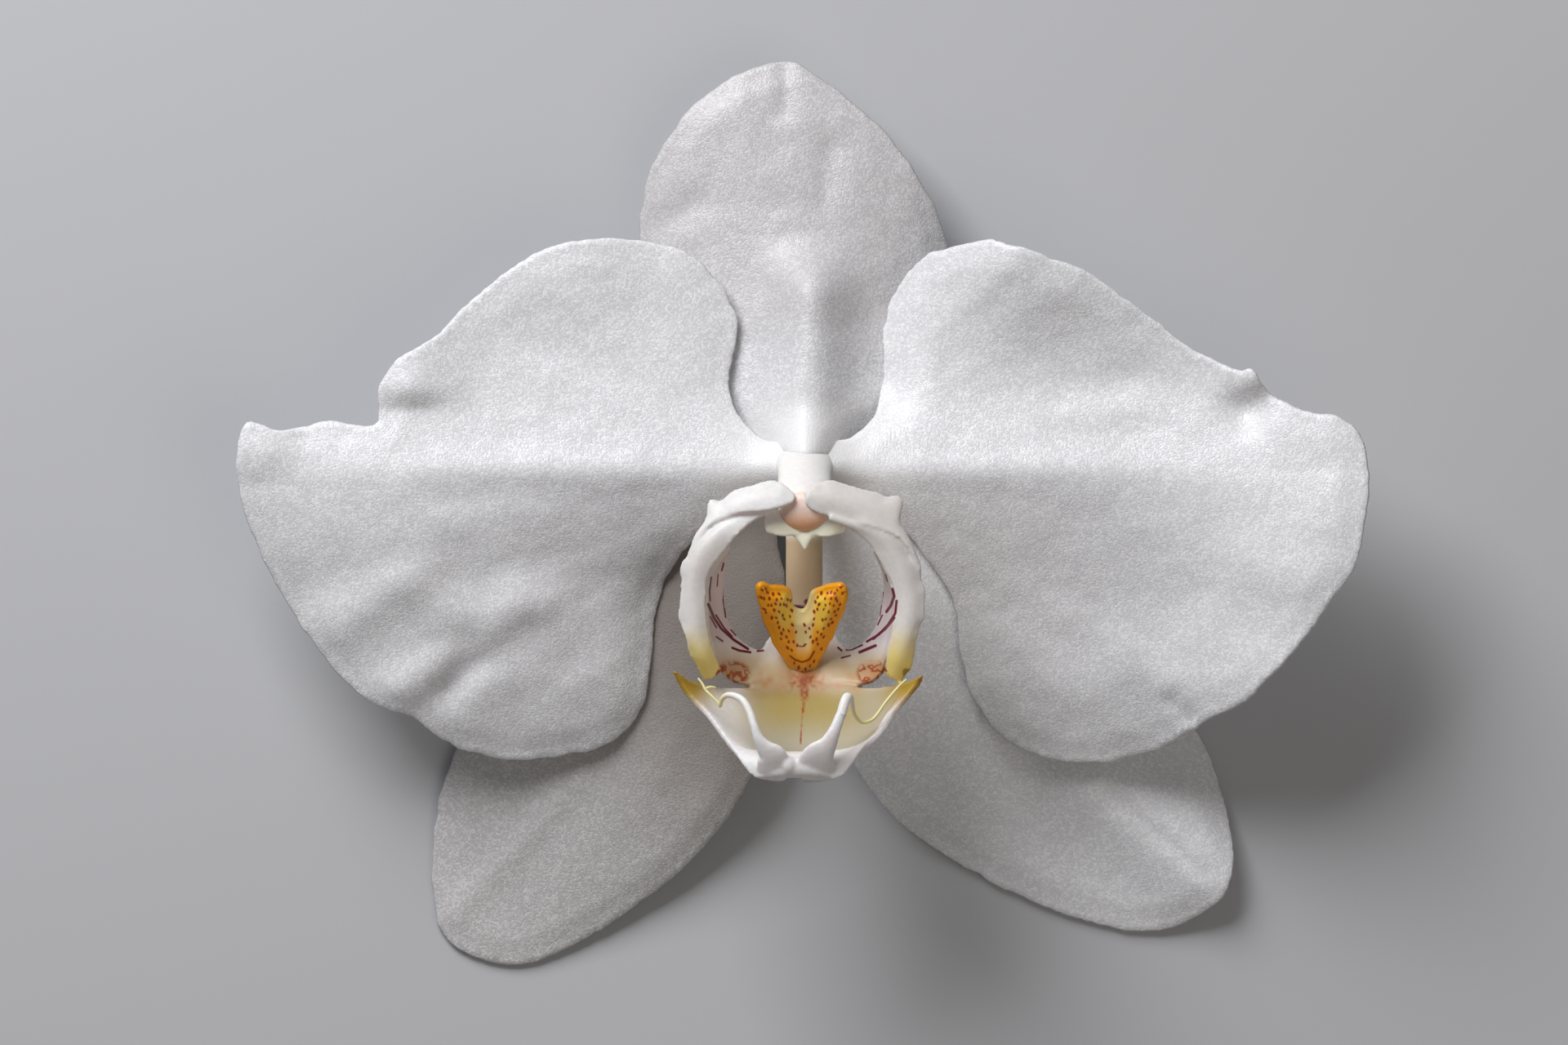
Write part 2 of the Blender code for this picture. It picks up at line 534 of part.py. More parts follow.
def build_column(ivory, peach, yellow):
    column = stem("column", COLUMN, 12, 20, ivory)
    pieces = [stem("foot", FOOT, 8, 12, ivory), stem("beak", BEAK, 4, 10, ivory)]
    pieces += [stem(side + "_wing", WINGS[side], 4, 10, ivory) for side in WINGS]
    fuse(column, pieces)
    lid("anther_cap", peach)
    pollinia = pollen_mass("pollinia", -1, yellow)
    stalk = [(x, 0.0, POLLEN_HEIGHT) for x in (-POLLEN_APART, 0.0, POLLEN_APART)]
    ends = [(*(cap_frame() @ Vector(p) / (SCALE * MM)), 0.2, 0.2) for p in stalk]
    fuse(pollinia, [pollen_mass("right_pollen", 1, yellow), stem("stalk", ends, 4, 8, yellow)])


def main():
    for old in list(bpy.data.objects):
        bpy.data.objects.remove(old)
    white = material("petal_white", (0.80, 0.81, 0.83), 0.5)
    orange = material("callus_orange", (0.80, 0.36, 0.03), 0.4)
    ivory = material("column_ivory", (0.80, 0.77, 0.68), 0.4)
    peach = material("anther_peach", (0.80, 0.50, 0.33), 0.4)
    green = material("pedicel_green", (0.35, 0.45, 0.16), 0.5)
    build_tepals(white)
    build_lip(white, orange)
    build_column(ivory, peach, orange)
    press_flat(stem("pedicel", PEDICEL, 24, 14, green))
    bpy.context.view_layer.update()
    set_on_origin(list(bpy.data.objects))


main()
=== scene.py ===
# %% [markdown]
# A white moth orchid flower, picked and laid on its back
#
# The flower is about 100 mm across. It lies face up on a pale board, on the tips of its two lower
# sepals and on its cut stalk, and the camera looks straight down on it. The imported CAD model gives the
# frame: every piece here is drawn in the same millimetres and stands for one of its solids.

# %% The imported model
import math

import bmesh
import bpy
import numpy as np
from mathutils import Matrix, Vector
from mathutils.geometry import delaunay_2d_cdt


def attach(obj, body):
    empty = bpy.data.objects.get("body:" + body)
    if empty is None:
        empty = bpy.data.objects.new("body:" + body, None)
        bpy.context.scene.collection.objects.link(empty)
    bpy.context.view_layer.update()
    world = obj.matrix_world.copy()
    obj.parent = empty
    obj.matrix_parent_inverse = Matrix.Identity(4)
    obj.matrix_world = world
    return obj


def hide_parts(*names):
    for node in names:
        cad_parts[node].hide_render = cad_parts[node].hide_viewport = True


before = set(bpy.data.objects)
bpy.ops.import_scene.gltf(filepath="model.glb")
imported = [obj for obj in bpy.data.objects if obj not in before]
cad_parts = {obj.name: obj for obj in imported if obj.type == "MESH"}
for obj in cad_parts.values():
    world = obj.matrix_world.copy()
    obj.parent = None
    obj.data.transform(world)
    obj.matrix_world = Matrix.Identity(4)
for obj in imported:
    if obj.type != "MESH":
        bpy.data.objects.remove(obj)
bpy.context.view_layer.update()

print("solids:", sorted(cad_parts))

# %% [markdown]
# One set of coordinates
#
# A flower is easiest to draw in its own millimetres: (0, 0) is the foot of the column, +y runs up to the
# top sepal, and height 0 is the level of the petals. One function turns such points into the frame's
# metres. The surface that the flower lies on is 13 mm below the petals.

# %% From flower millimetres to the frame
MM = 0.001
FOOT_IN_FRAME = np.array([0.191, 4.475, 13.0])
SURFACE = -13.0


def to_frame(points):
    """Flower millimetres as the frame's metres."""
    return (np.asarray(points, float) + FOOT_IN_FRAME) * MM


print("foot of the column in the frame, in m:", to_frame([0, 0, 0]))

# %% [markdown]
# Curves, easing and soft lumps
#
# Petal margins and veins are smooth but never regular. A few given points and a curve that passes through
# each of them (Catmull-Rom) give the first, and a table of random heights that is smoothed between its
# entries gives the second. The table is seeded, so each run gives the same flower.


# %% Curves through points
def smooth_curve(points, steps, closed=False):
    """A curve through the points, read at steps + 1 places from its start to its end."""
    p = np.asarray(points, float)
    if closed:
        path = np.concatenate([p[-1:], p, p[:2]])
    else:
        path = np.concatenate([2 * p[:1] - p[1:2], p, 2 * p[-1:] - p[-2:-1]])
    spans = len(path) - 3
    place = np.linspace(0, spans, steps + 1)
    i = np.minimum(place.astype(int), spans - 1)
    t = (place - i)[:, None]
    p0, p1, p2, p3 = (path[i + k] for k in range(4))
    bend, twist = 2 * p0 - 5 * p1 + 4 * p2 - p3, 3 * p1 - p0 - 3 * p2 + p3
    return 0.5 * (2 * p1 + (p2 - p0) * t + bend * t ** 2 + twist * t ** 3)


def even_loop(points, spacing):
    """A closed curve through the points, as places that lie evenly along it."""
    dense = smooth_curve(points, 40 * len(points), closed=True)
    run = np.concatenate([[0], np.cumsum(np.linalg.norm(np.diff(dense, axis=0), axis=1))])
    wanted = np.linspace(0, run[-1], round(run[-1] / spacing), endpoint=False)
    return np.stack([np.interp(wanted, run, dense[:, k]) for k in range(2)], axis=1)


# %% Slopes, swellings, folds and lumps
TABLE_SIDE = 64


def ease(value, low, high):
    """0 below low, 1 above high and a smooth slope between them."""
    t = np.clip((value - low) / (high - low), 0, 1)
    return t * t * (3 - 2 * t)


def bump(x, y, at, radius, height):
    """A round swelling, or a dent where height is below 0."""
    return height * np.exp(-((x - at[0]) ** 2 + (y - at[1]) ** 2) / radius ** 2)


def fold(x, y, start, end, width, height):
    """A straight ridge from start to end, or a groove where height is below 0."""
    ax, ay = end[0] - start[0], end[1] - start[1]
    length = math.hypot(ax, ay)
    along = ((x - start[0]) * ax + (y - start[1]) * ay) / length
    across = ((x - start[0]) * ay - (y - start[1]) * ax) / length
    ends = ease(along, -width, width) * (1 - ease(along, length - width, length + width))
    return height * ends * np.exp(-(across / width) ** 2)


def lumps(x, y, size, seed):
    """Soft random heights between -1 and 1, about size apart."""
    table = np.random.default_rng(seed).uniform(-1, 1, (TABLE_SIDE, TABLE_SIDE))
    u, v = np.asarray(x) / size, np.asarray(y) / size
    i, j = np.floor(u).astype(int), np.floor(v).astype(int)
    a, b = u - i, v - j
    a, b = a * a * (3 - 2 * a), b * b * (3 - 2 * b)
    i0, i1, j0, j1 = i % TABLE_SIDE, (i + 1) % TABLE_SIDE, j % TABLE_SIDE, (j + 1) % TABLE_SIDE
    low = table[i0, j0] * (1 - a) + table[i1, j0] * a
    high = table[i0, j1] * (1 - a) + table[i1, j1] * a
    return low * (1 - b) + high * b


print("soft random heights, 2.6 mm apart:", lumps(np.array([0.0, 2.6, 5.2]), np.zeros(3), 2.6, 22).round(2))

# %% [markdown]
# The five white blades: outlines
#
# Three sepals stand behind and two broad petals in front. Each is a thin sheet with its own margin, so each
# starts as a listed outline. The outlines follow those of the solids, with more of the small notches that
# the photo shows, and run on under the column, so that the blades grow out of it.

# %% Outlines, in flower millimetres
LEFT_PETAL = [
    (-1.2, 0.8), (-2.1, 1.9), (-4.3, 2.5), (-6.5, 5.2), (-6.8, 8.2), (-6.2, 11.0), (-6.3, 13.6),
    (-8.0, 16.6), (-11.0, 19.0), (-16.0, 20.05), (-21.0, 19.7), (-24.0, 18.7), (-26.4, 17.2),
    (-30.0, 14.1), (-33.0, 11.2), (-36.2, 9.2), (-37.7, 7.0), (-37.7, 4.7), (-37.75, 3.9),
    (-38.6, 3.45), (-39.8, 3.3), (-41.5, 3.7), (-43.0, 3.65), (-44.8, 3.15), (-46.6, 3.0),
    (-48.0, 3.25), (-49.3, 3.75), (-50.0, 2.8), (-50.3, -0.8), (-49.2, -5.6), (-46.2, -11.8),
    (-42.6, -17.2), (-38.6, -21.0), (-34.8, -22.5), (-31.6, -24.8), (-27.0, -26.1), (-22.0, -25.9),
    (-17.4, -24.6), (-14.6, -21.4), (-13.8, -17.0), (-13.4, -12.8), (-11.4, -8.2), (-7.6, -4.4),
    (-3.6, -2.4), (-1.2, -1.5),
]
RIGHT_PETAL = [
    (1.2, 0.8), (2.1, 1.9), (4.2, 2.3), (6.3, 4.3), (7.1, 7.4), (7.0, 10.6), (8.0, 14.9), (10.4, 18.1),
    (13.2, 19.4), (16.8, 19.85), (21.0, 18.6), (25.6, 16.8), (30.0, 13.6), (34.0, 10.6), (36.4, 9.2),
    (38.4, 8.3), (39.0, 8.25), (39.5, 8.55), (40.0, 8.2), (40.5, 7.2), (41.4, 6.3), (43.4, 5.1),
    (45.0, 4.6), (47.0, 4.3), (48.0, 3.6), (49.2, 2.6), (49.9, -1.2), (49.0, -7.8), (46.4, -12.3),
    (42.6, -17.2), (39.0, -20.9), (35.8, -22.6), (34.9, -23.35), (34.2, -23.6), (32.0, -25.0),
    (27.0, -26.4), (22.0, -26.1), (18.2, -24.5), (15.2, -20.6), (14.1, -16.4), (13.4, -12.2),
    (10.4, -7.4), (6.6, -4.0), (3.6, -2.3), (1.2, -1.5),
]
DORSAL_SEPAL = [
    (-1.6, 1.0), (-3.4, 1.6), (-5.0, 2.5), (-7.6, 4.7), (-10.4, 8.6), (-13.0, 13.4), (-14.5, 18.8),
    (-14.4, 23.4), (-13.0, 27.9), (-9.9, 32.1), (-6.0, 34.9), (-3.6, 35.8), (-2.0, 36.1), (-0.6, 35.8),
    (0.8, 34.9), (4.0, 32.7), (7.1, 29.8), (10.0, 25.9), (12.0, 22.0), (13.1, 17.6), (12.4, 12.6),
    (9.9, 8.0), (7.3, 4.5), (4.8, 2.5), (3.4, 1.6), (1.6, 1.0),
]
LEFT_SEPAL = [
    (-1.6, 0.2), (-3.2, -0.9), (-7.6, -2.8), (-14.0, -7.4), (-21.0, -13.0), (-27.2, -18.8),
    (-31.2, -25.6), (-33.1, -32.2), (-33.3, -38.2), (-32.4, -42.0), (-29.6, -44.2), (-25.2, -44.7),
    (-21.0, -43.2), (-15.0, -39.3), (-10.0, -35.1), (-6.4, -30.6), (-4.4, -26.6), (-2.9, -20.5),
    (-2.1, -14.6), (-1.8, -10.6), (-2.35, -6.4), (-1.7, -3.6), (-0.6, -1.4),
]
RIGHT_SEPAL = [
    (1.6, 0.2), (3.2, -0.9), (7.8, -2.6), (14.6, -6.6), (22.0, -11.6), (29.4, -17.0), (34.7, -23.1),
    (37.4, -29.2), (38.5, -34.6), (37.7, -38.2), (35.2, -40.5), (31.4, -41.8), (26.4, -41.1),
    (20.6, -39.1), (14.4, -35.9), (9.0, -32.1), (5.0, -27.5), (3.0, -22.0), (1.8, -16.0), (1.3, -10.6),
    (1.5, -6.0), (1.3, -3.6), (0.6, -1.4),
]
for title, outline in (
        ("left petal", LEFT_PETAL), ("right petal", RIGHT_PETAL), ("dorsal sepal", DORSAL_SEPAL),
        ("left sepal", LEFT_SEPAL), ("right sepal", RIGHT_SEPAL)):
    print(title, "outline in mm:", np.ptp(outline, axis=0).round(1))


# %% [markdown]
# The relief of each blade
#
# A petal is a low roof along its midrib, with long soft folds that fan out from its base, and the sepals
# arch back. Light from above the flower shows each of these, so the relief is where most of the likeness
# comes from. Each height is a plain sum of eased slopes, folds and lumps.


# %% What the reliefs are made of
def soft_above(value, width):
    """The value where it is above 0 and 0 below, with a rounded change between the two."""
    return width * np.logaddexp(0.0, value / width)


def rays(x, y, across, seed):
    """Soft ridges that fan out from the foot of the column, as the veins of a petal do."""
    away = np.hypot(x, y)
    fan = lumps(np.arctan2(y, np.abs(x)) * 30.0, away * across / 14.0, across, seed)
    return fan * ease(away, 8.0, 30.0)


def dimples(x, y, seed):
    """The slight unevenness of the tissue, in two sizes."""
    return 0.07 * lumps(x, y, 2.6, seed) + 0.028 * lumps(x, y, 1.1, seed + 50)


def petal_roof(x, y, side, roll):
    """A petal falls away from its midrib on both sides, and its inner upper margin rolls back."""
    out = side * x
    upper, lower = soft_above(y + 0.5, 0.35), soft_above(-0.5 - y, 0.35)
    z = -0.4 + 0.02 * np.hypot(x, y)
    z = z - (1.0 - 0.6 * ease(out, 24.0, 48.0)) * 3.6 * (1 - np.exp(-upper / 8.0))
    z = z - (1.0 - ease(out, 12.0, 40.0)) * 1.4 * (1 - np.exp(-lower / 2.6))
    z = z - 0.20 * lower * ease(lower, -4.0, 12.0)
    z = z - 1.2 * ease(lower, 18.0, 27.0)
    z = z + bump(x, y, (0.0, -0.2), 3.0, 2.5)
    return z - roll * ease(12.0 - out, 0.0, 6.5) * ease(y, 2.0, 8.0)


# %% Heights of the two petals
def left_petal_height(x, y):
    z = petal_roof(x, y, -1, 0.6) - 1.4 * ease(-x, 34.0, 52.0)
    z = z + 1.0 * ease(y, 8.0, 20.0) * ease(-x, 12.0, 20.0)
    z = z - 0.9 * ease(18.0 + x, 0.0, 6.0) * ease(-y, 5.0, 12.0)
    z = z + fold(x, y, (-24, -11.5), (-37, -20.8), 1.7, 0.45)
    z = z - fold(x, y, (-29, -14.5), (-33, -21.5), 1.6, 0.45)
    z = z + fold(x, y, (-33, -9.5), (-43, -14.6), 2.4, 0.7)
    z = z - fold(x, y, (-28, -17), (-33, -20.5), 1.2, 0.3)
    z = z + 1.2 * ease(y, 4.6, 7.2) * np.exp(-((x + 34.8) / 3.4) ** 2)
    z = z + fold(x, y, (-21, -11.5), (-34, -13.5), 2.4, 0.5)
    z = z + 0.9 * ease(y, -2.2, 1.8) * ease(-x, 44.0, 48.0)
    return z + 0.13 * rays(x, y, 2.6, 21) + dimples(x, y, 22)


def right_petal_height(x, y):
    z = petal_roof(x, y, 1, 2.2) + 3.2 * ease(x, 28.0, 54.0)
    z = z + 4.0 * ease(y, 6.0, 20.0) * ease(x, 9.0, 20.0)
    z = z + fold(x, y, (28, -17), (34, -19.5), 2.0, 0.4)
    z = z - fold(x, y, (32.6, -20.4), (34.8, -23), 0.8, 0.3)
    z = z + fold(x, y, (38, -8.5), (47, -10.5), 2.4, 0.4)
    z = z + bump(x, y, (40.0, 7.6), 1.4, 0.7)
    z = z - bump(x, y, (39.4, 4.6), 1.9, 1.0)
    z = z + 0.7 * ease(y, 5.2, 8.0) * np.exp(-((x - 38.6) / 2.6) ** 2)
    z = z + 0.26 * np.maximum(0.0, -0.5 - y) * ease(x, 30.0, 46.0)
    return z + 0.13 * rays(x, y, 2.6, 23) + dimples(x, y, 24)


# %% Heights of the three sepals
def dorsal_height(x, y):
    z = -2.8 - 0.12 * y - 0.0004 * y ** 2
    z = z - 0.018 * x ** 2 * (1 - 0.6 * ease(y, 14, 32))
    z = z + fold(x, y, (0.2, -1.5), (1.0, 18), 3.1, 3.2) + bump(x, y, (0.0, 0.2), 2.8, 2.3)
    z = z - fold(x, y, (1.6, 22), (2.2, 29), 1.1, 0.2)
    z = z - fold(x, y, (-8.4, 24.2), (-13.4, 21.2), 1.4, 0.25)
    z = z - fold(x, y, (-1.8, 31), (-1.6, 37), 0.8, 0.25)
    return z + 0.10 * rays(x, y, 2.6, 25) + 1.3 * dimples(x, y, 26)


def sepal_arch(x, y, tip, late):
    """A lateral sepal leans back until its end rests on the surface, late or early along its length."""
    length = math.hypot(*tip)
    along = (x * tip[0] + y * tip[1]) / length
    across = (x * tip[1] - y * tip[0]) / length
    share = np.maximum(0.0, along) / length
    bend_late = share ** 1.4
    bend_early = 0.25 * share + 0.75 * ease(share, 0.2, 0.86)
    z = -2.7 - 0.8 * share - 9.4 * (late * bend_late + (1 - late) * bend_early)
    z = z - 0.014 * across ** 2 * (1 - 0.4 * share)
    return SURFACE + 0.45 + soft_above(z - SURFACE - 0.45, 0.33)


def left_sepal_height(x, y):
    z = sepal_arch(x, y, (-27.0, -42.5), 0.8) + fold(x, y, (-20, -28), (-32, -41), 1.2, 0.2)
    return z + 0.06 * rays(x, y, 2.6, 27) + 0.5 * dimples(x, y, 28)


def right_sepal_height(x, y):
    z = sepal_arch(x, y, (33.0, -38.5), 0.0) + fold(x, y, (24, -26), (42, -41), 4.6, 2.4)
    z = z - fold(x, y, (27, -29), (36.5, -37), 0.8, 0.3)
    return z + 0.06 * rays(x, y, 2.6, 29) + 0.5 * dimples(x, y, 30)


midrib = left_petal_height(np.array([-25.0, -49.0]), np.zeros(2))
print("left petal, height at its middle and at its end:", midrib.round(2))

# %% [markdown]
# From outline to blade
#
# The inside of an outline is filled with evenly spaced points and triangles (a constrained Delaunay
# mesh), which keeps the faces equally small everywhere, so that fine relief shows on any part of it. The
# sheet is then given its thickness along its own normal, thinning to a soft edge. In the middle a petal
# is 0.8 mm thick, a sepal 0.9 mm, and the crest of the lip, which is made the same way, 1.5 mm.

# %% Which points lie inside an edge, and how far from it
TINY = 1e-12


def inside(points, edge):
    """Counts how often a line to the right crosses the edge. TINY keeps a level step from dividing by 0."""
    x, y = points[:, :1], points[:, 1:]
    a, b = edge, np.roll(edge, -1, axis=0)
    crosses = (a[:, 1] > y) != (b[:, 1] > y)
    rise = np.where(np.abs(b[:, 1] - a[:, 1]) < TINY, TINY, b[:, 1] - a[:, 1])
    reach = a[:, 0] + (y - a[:, 1]) / rise * (b[:, 0] - a[:, 0])
    return (crosses & (x < reach)).sum(axis=1) % 2 == 1


def nearest(points, edge):
    """Distance from each point to the nearest corner of the edge."""
    return np.concatenate([
        np.sqrt(((part[:, None] - edge[None]) ** 2).sum(axis=2)).min(axis=1)
        for part in np.array_split(points, 1 + len(points) // 2000)])


# %% A blade as a closed thin body
BLADE_MESH = {"edge_step": 0.32, "grid_step": 0.46, "rim_thick": 0.3, "rim_fade": 2.5}
SLOPE_STEP = 0.05
CLEAR_OF_EDGE = 0.6


def blade_body(outline, height, thick, seed, edge_step, grid_step, rim_thick, rim_fade):
    """Points and faces of a sheet that is thick in the middle and rim_thick at its slightly ragged edge."""
    edge = even_loop(outline, edge_step)
    out = np.roll(edge, 1, axis=0) - np.roll(edge, -1, axis=0)
    out = np.stack([-out[:, 1], out[:, 0]], axis=1)
    out /= np.linalg.norm(out, axis=1)[:, None]
    if inside(edge[:1] + 0.1 * out[:1], edge)[0]:
        out = -out
    run = np.arange(len(edge)) * edge_step
    ragged = 0.10 * lumps(run, 0 * run, 1.4, seed) + 0.05 * lumps(run, 0 * run, 0.5, seed + 1)
    edge = edge + out * ragged[:, None]
    low, high = edge.min(axis=0), edge.max(axis=0)
    rows = np.arange(low[1], high[1], grid_step * math.sqrt(3) / 2)
    columns = np.arange(low[0], high[0], grid_step)
    grid = np.array([(x + 0.5 * grid_step * (k % 2), y) for k, y in enumerate(rows) for x in columns])
    grid = grid[inside(grid, edge)]
    grid = grid[nearest(grid, edge) > CLEAR_OF_EDGE * grid_step]
    loop = [(i, (i + 1) % len(edge)) for i in range(len(edge))]
    places = [Vector(p) for p in np.concatenate([edge, grid])]
    flat, _, faces, *_ = delaunay_2d_cdt(places, loop, [], 1, 1e-6)
    flat = np.array([tuple(p) for p in flat])
    x, y = flat.T
    z = height(x, y)
    normal = np.stack([
        (height(x - SLOPE_STEP, y) - height(x + SLOPE_STEP, y)) / (2 * SLOPE_STEP),
        (height(x, y - SLOPE_STEP) - height(x, y + SLOPE_STEP)) / (2 * SLOPE_STEP),
        np.ones(len(x))], axis=1)
    normal /= np.linalg.norm(normal, axis=1)[:, None]
    half = 0.5 * (rim_thick + (thick - rim_thick) * ease(nearest(flat, edge), 0, rim_fade))[:, None]
    middle = np.stack([x, y, z], axis=1)
    rim = middle[:len(edge)] + np.concatenate([out * rim_thick / 2, np.zeros((len(out), 1))], axis=1)
    count, ring = len(flat), len(edge)
    verts = np.concatenate([middle + half * normal, middle - half * normal, rim])
    tris = [tuple(face) for face in faces]
    tris += [tuple(i + count for i in reversed(face)) for face in faces]
    for i in range(ring):
        j = (i + 1) % ring
        tris += [(i, j, 2 * count + j, 2 * count + i), (2 * count + i, 2 * count + j, count + j, count + i)]
    verts[:, 2] = np.maximum(verts[:, 2], SURFACE)
    return verts, tris


# %% From points and faces to a piece of the flower
def make_piece(name, verts, faces):
    """A smooth piece whose faces all look outwards."""
    mesh = bpy.data.meshes.new(name)
    mesh.from_pydata(to_frame(verts).tolist(), [], [tuple(int(i) for i in face) for face in faces])
    bm = bmesh.new()
    bm.from_mesh(mesh)
    bmesh.ops.recalc_face_normals(bm, faces=bm.faces)
    for face in bm.faces:
        face.smooth = True
    bm.to_mesh(mesh)
    bm.free()
    piece = bpy.data.objects.new(name, mesh)
    bpy.context.collection.objects.link(piece)
    print(name, len(mesh.vertices), "points")
    return piece


def settle(piece, slot, finish, *nodes):
    """Gives a piece its finish, hangs it under the root body, and hides the solids that it stands for."""
    piece.data.materials.clear()
    piece.data.materials.append(finish)
    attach(piece, "root")
    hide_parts(*nodes)


# %% [markdown]
# Finishes: how a node tree is written here
#
# Each finish starts from what the real surface is. Colours are written as sRGB codes, as a paint chart
# gives them, and one function turns them into the linear values that the shader wants. One more function
# adds a node, with its settings and with what goes into its sockets.


# %% Colour and node helpers
def linear(code):
    """An sRGB code as the linear colour that the shader wants."""
    parts = [int(code[i:i + 2], 16) / 255 for i in (1, 3, 5)]
    return (*[c / 12.92 if c <= 0.04045 else ((c + 0.055) / 1.055) ** 2.4 for c in parts], 1.0)


def add_node(tree, kind, settings=None, inputs=None):
    """Adds one node. An input given as a socket is linked, and any other is set."""
    made = tree.nodes.new(kind)
    for key, value in (settings or {}).items():
        setattr(made, key, value)
    for key, value in (inputs or {}).items():
        if isinstance(value, bpy.types.NodeSocket):
            tree.links.new(value, made.inputs[key])
        else:
            made.inputs[key].default_value = value
    return made


def new_finish(name, **constants):
    """A finish, its node tree, its shader, and the place on the piece in millimetres."""
    finish = bpy.data.materials.new(name)
    finish.use_nodes = True
    tree = finish.node_tree
    shader = tree.nodes["Principled BSDF"]
    for key, value in constants.items():
        shader.inputs[key.replace("_", " ")].default_value = value
    where = add_node(tree, "ShaderNodeTexCoord")
    in_mm = add_node(tree, "ShaderNodeVectorMath", {"operation": "SCALE"}, {
        0: where.outputs["Object"], "Scale": 1 / MM})
    return finish, tree, shader, in_mm.outputs[0]


# A node that mixes colours takes the share at socket 0 and the colours at 6 and 7. Its result is output 2.
MIX_COLOURS = {"data_type": "RGBA"}


def lay_pigments_and_shade(tree, shown, pigments):
    """Lays one colour after another over what is shown, each as strong as its amount stored at the point."""
    for pigment, code in pigments:
        amount = add_node(tree, "ShaderNodeAttribute", {"attribute_name": pigment})
        shown = add_node(tree, "ShaderNodeMix", MIX_COLOURS, {
            0: amount.outputs["Fac"], 6: shown.outputs[2], 7: linear(code)})
    return shown


print("the sRGB grey #808080 in linear light:", round(linear("#808080")[0], 3))

# %% [markdown]
# White petal skin
#
# The skin of the petals is not flat white: each cell ends in a tiny clear dome (a papilla), about 0.05 mm
# wide, and the domes glitter like frost. A Voronoi pattern gives one small hill per dome, and one random
# brightness between two whites, which is painted glitter. It is drawn at 0.17 mm, so that it still shows at
# this distance. Under the skin the tissue is slightly uneven, which a soft noise about 1.5 mm wide gives.

# %% Finish of the petals and sepals, with its sizes in mm
PAPILLA = 0.17
PAPILLA_HILL = 0.04
TISSUE_LUMP = 1.5
TISSUE_HILL = 0.06
PETAL_SCATTER = 0.6
SMOOTH_CLAW = "#eeedeb"
# The colour of the painted shade on the blades.
PAINTED_SHADE_GREY = "#978f88"


def petal_skin(name, bright, shade, relief):
    """Frosted skin whose domes are painted brighter or darker between two whites, as painted glitter. The
    stored amounts of smoothness and of painted shade lie over it.
    """
    finish, tree, shader, place = new_finish(
        name, Roughness=0.34, IOR=1.45, Subsurface_Weight=0.08, Subsurface_Radius=(1.0, 0.9, 0.85),
        Subsurface_Scale=PETAL_SCATTER * MM)
    dome = add_node(tree, "ShaderNodeTexVoronoi", {}, {"Vector": place, "Scale": 1 / PAPILLA})
    parts = add_node(tree, "ShaderNodeSeparateColor", {}, {0: dome.outputs["Color"]})
    tissue = add_node(tree, "ShaderNodeTexNoise", {}, {
        "Vector": place, "Scale": 1 / TISSUE_LUMP, "Detail": 1.0})
    # Painted glitter: each dome gets a random brightness between the two whites.
    painted_glitter = add_node(tree, "ShaderNodeMapRange", {}, {
        "Value": parts.outputs[0], "From Min": 0.35, "From Max": 0.95})
    cloudy = add_node(tree, "ShaderNodeMapRange", {}, {
        "Value": tissue.outputs[0], "From Min": 0.3, "From Max": 0.7, "To Min": 0.78})
    share = add_node(tree, "ShaderNodeMath", {"operation": "MULTIPLY"}, {
        0: painted_glitter.outputs[0], 1: cloudy.outputs[0]})
    frost = add_node(tree, "ShaderNodeMix", MIX_COLOURS, {
        0: share.outputs[0], 6: linear(shade), 7: linear(bright)})
    shown = lay_pigments_and_shade(tree, frost, [("smooth", SMOOTH_CLAW), ("painted_shade", PAINTED_SHADE_GREY)])
    tree.links.new(shown.outputs[2], shader.inputs["Base Color"])
    hill = add_node(tree, "ShaderNodeBump", {"invert": True}, {
        "Height": dome.outputs["Distance"], "Strength": 0.6, "Distance": PAPILLA_HILL * MM})
    lump = add_node(tree, "ShaderNodeBump", {}, {
        "Height": tissue.outputs[0], "Strength": relief, "Distance": TISSUE_HILL * MM,
        "Normal": hill.outputs[0]})
    tree.links.new(lump.outputs[0], shader.inputs["Normal"])
    return finish


# The dorsal sepal and the left lateral sepal get darker copies of the petal skin, as painted shade.
shaded_dorsal_white = petal_skin("dorsal_skin_painted_shade", bright="#f2f2f4", shade="#d6d6d8", relief=0.8)
petal_white = petal_skin("petal_skin", bright="#f6f6f6", shade="#dedee0", relief=0.8)
shaded_sepal_white = petal_skin("sepal_skin_painted_shade", bright="#dedcdb", shade="#c3c1c0", relief=0.6)
print("petal finishes:", shaded_dorsal_white.name, petal_white.name, shaded_sepal_white.name)

# %% [markdown]
# Painted shade on the petals and sepals
#
# The left lateral sepal and both petals are painted darker towards their claw, near the ring, and the dorsal
# sepal towards its tip: this is painted shade. Each point of a piece can store an amount of a pigment or of
# painted shade, which its finish reads: here how much painted shade it holds, and how smooth it is, because
# the frost is missing near the claws. The frame's metres are turned back into flower millimetres to say
# where that is.

# %% Petals and sepals in place
# Painted shade: how strongly each blade is darkened near its claw, and the dorsal sepal towards its tip.
CLAW_PAINTED_SHADE = {"left_lateral_sepal": 1.0, "left_petal": 0.3, "right_petal": 0.35}
OUTER_PAINTED_SHADE = {"dorsal_sepal": 0.33}
PETAL_THICK = 0.8
SEPAL_THICK = 0.9


def flower_places(piece):
    """The points of a piece, back in flower millimetres."""
    places = np.empty(3 * len(piece.data.vertices))
    piece.data.vertices.foreach_get("co", places)
    return places.reshape(-1, 3) / MM - FOOT_IN_FRAME


def store_amount(piece, name, amount):
    """Stores the amount of one pigment, or of painted shade, at each point of a piece."""
    layer = piece.data.attributes.new(name, "FLOAT", "POINT")
    layer.data.foreach_set("value", np.clip(amount, 0, 1).astype(np.float32))


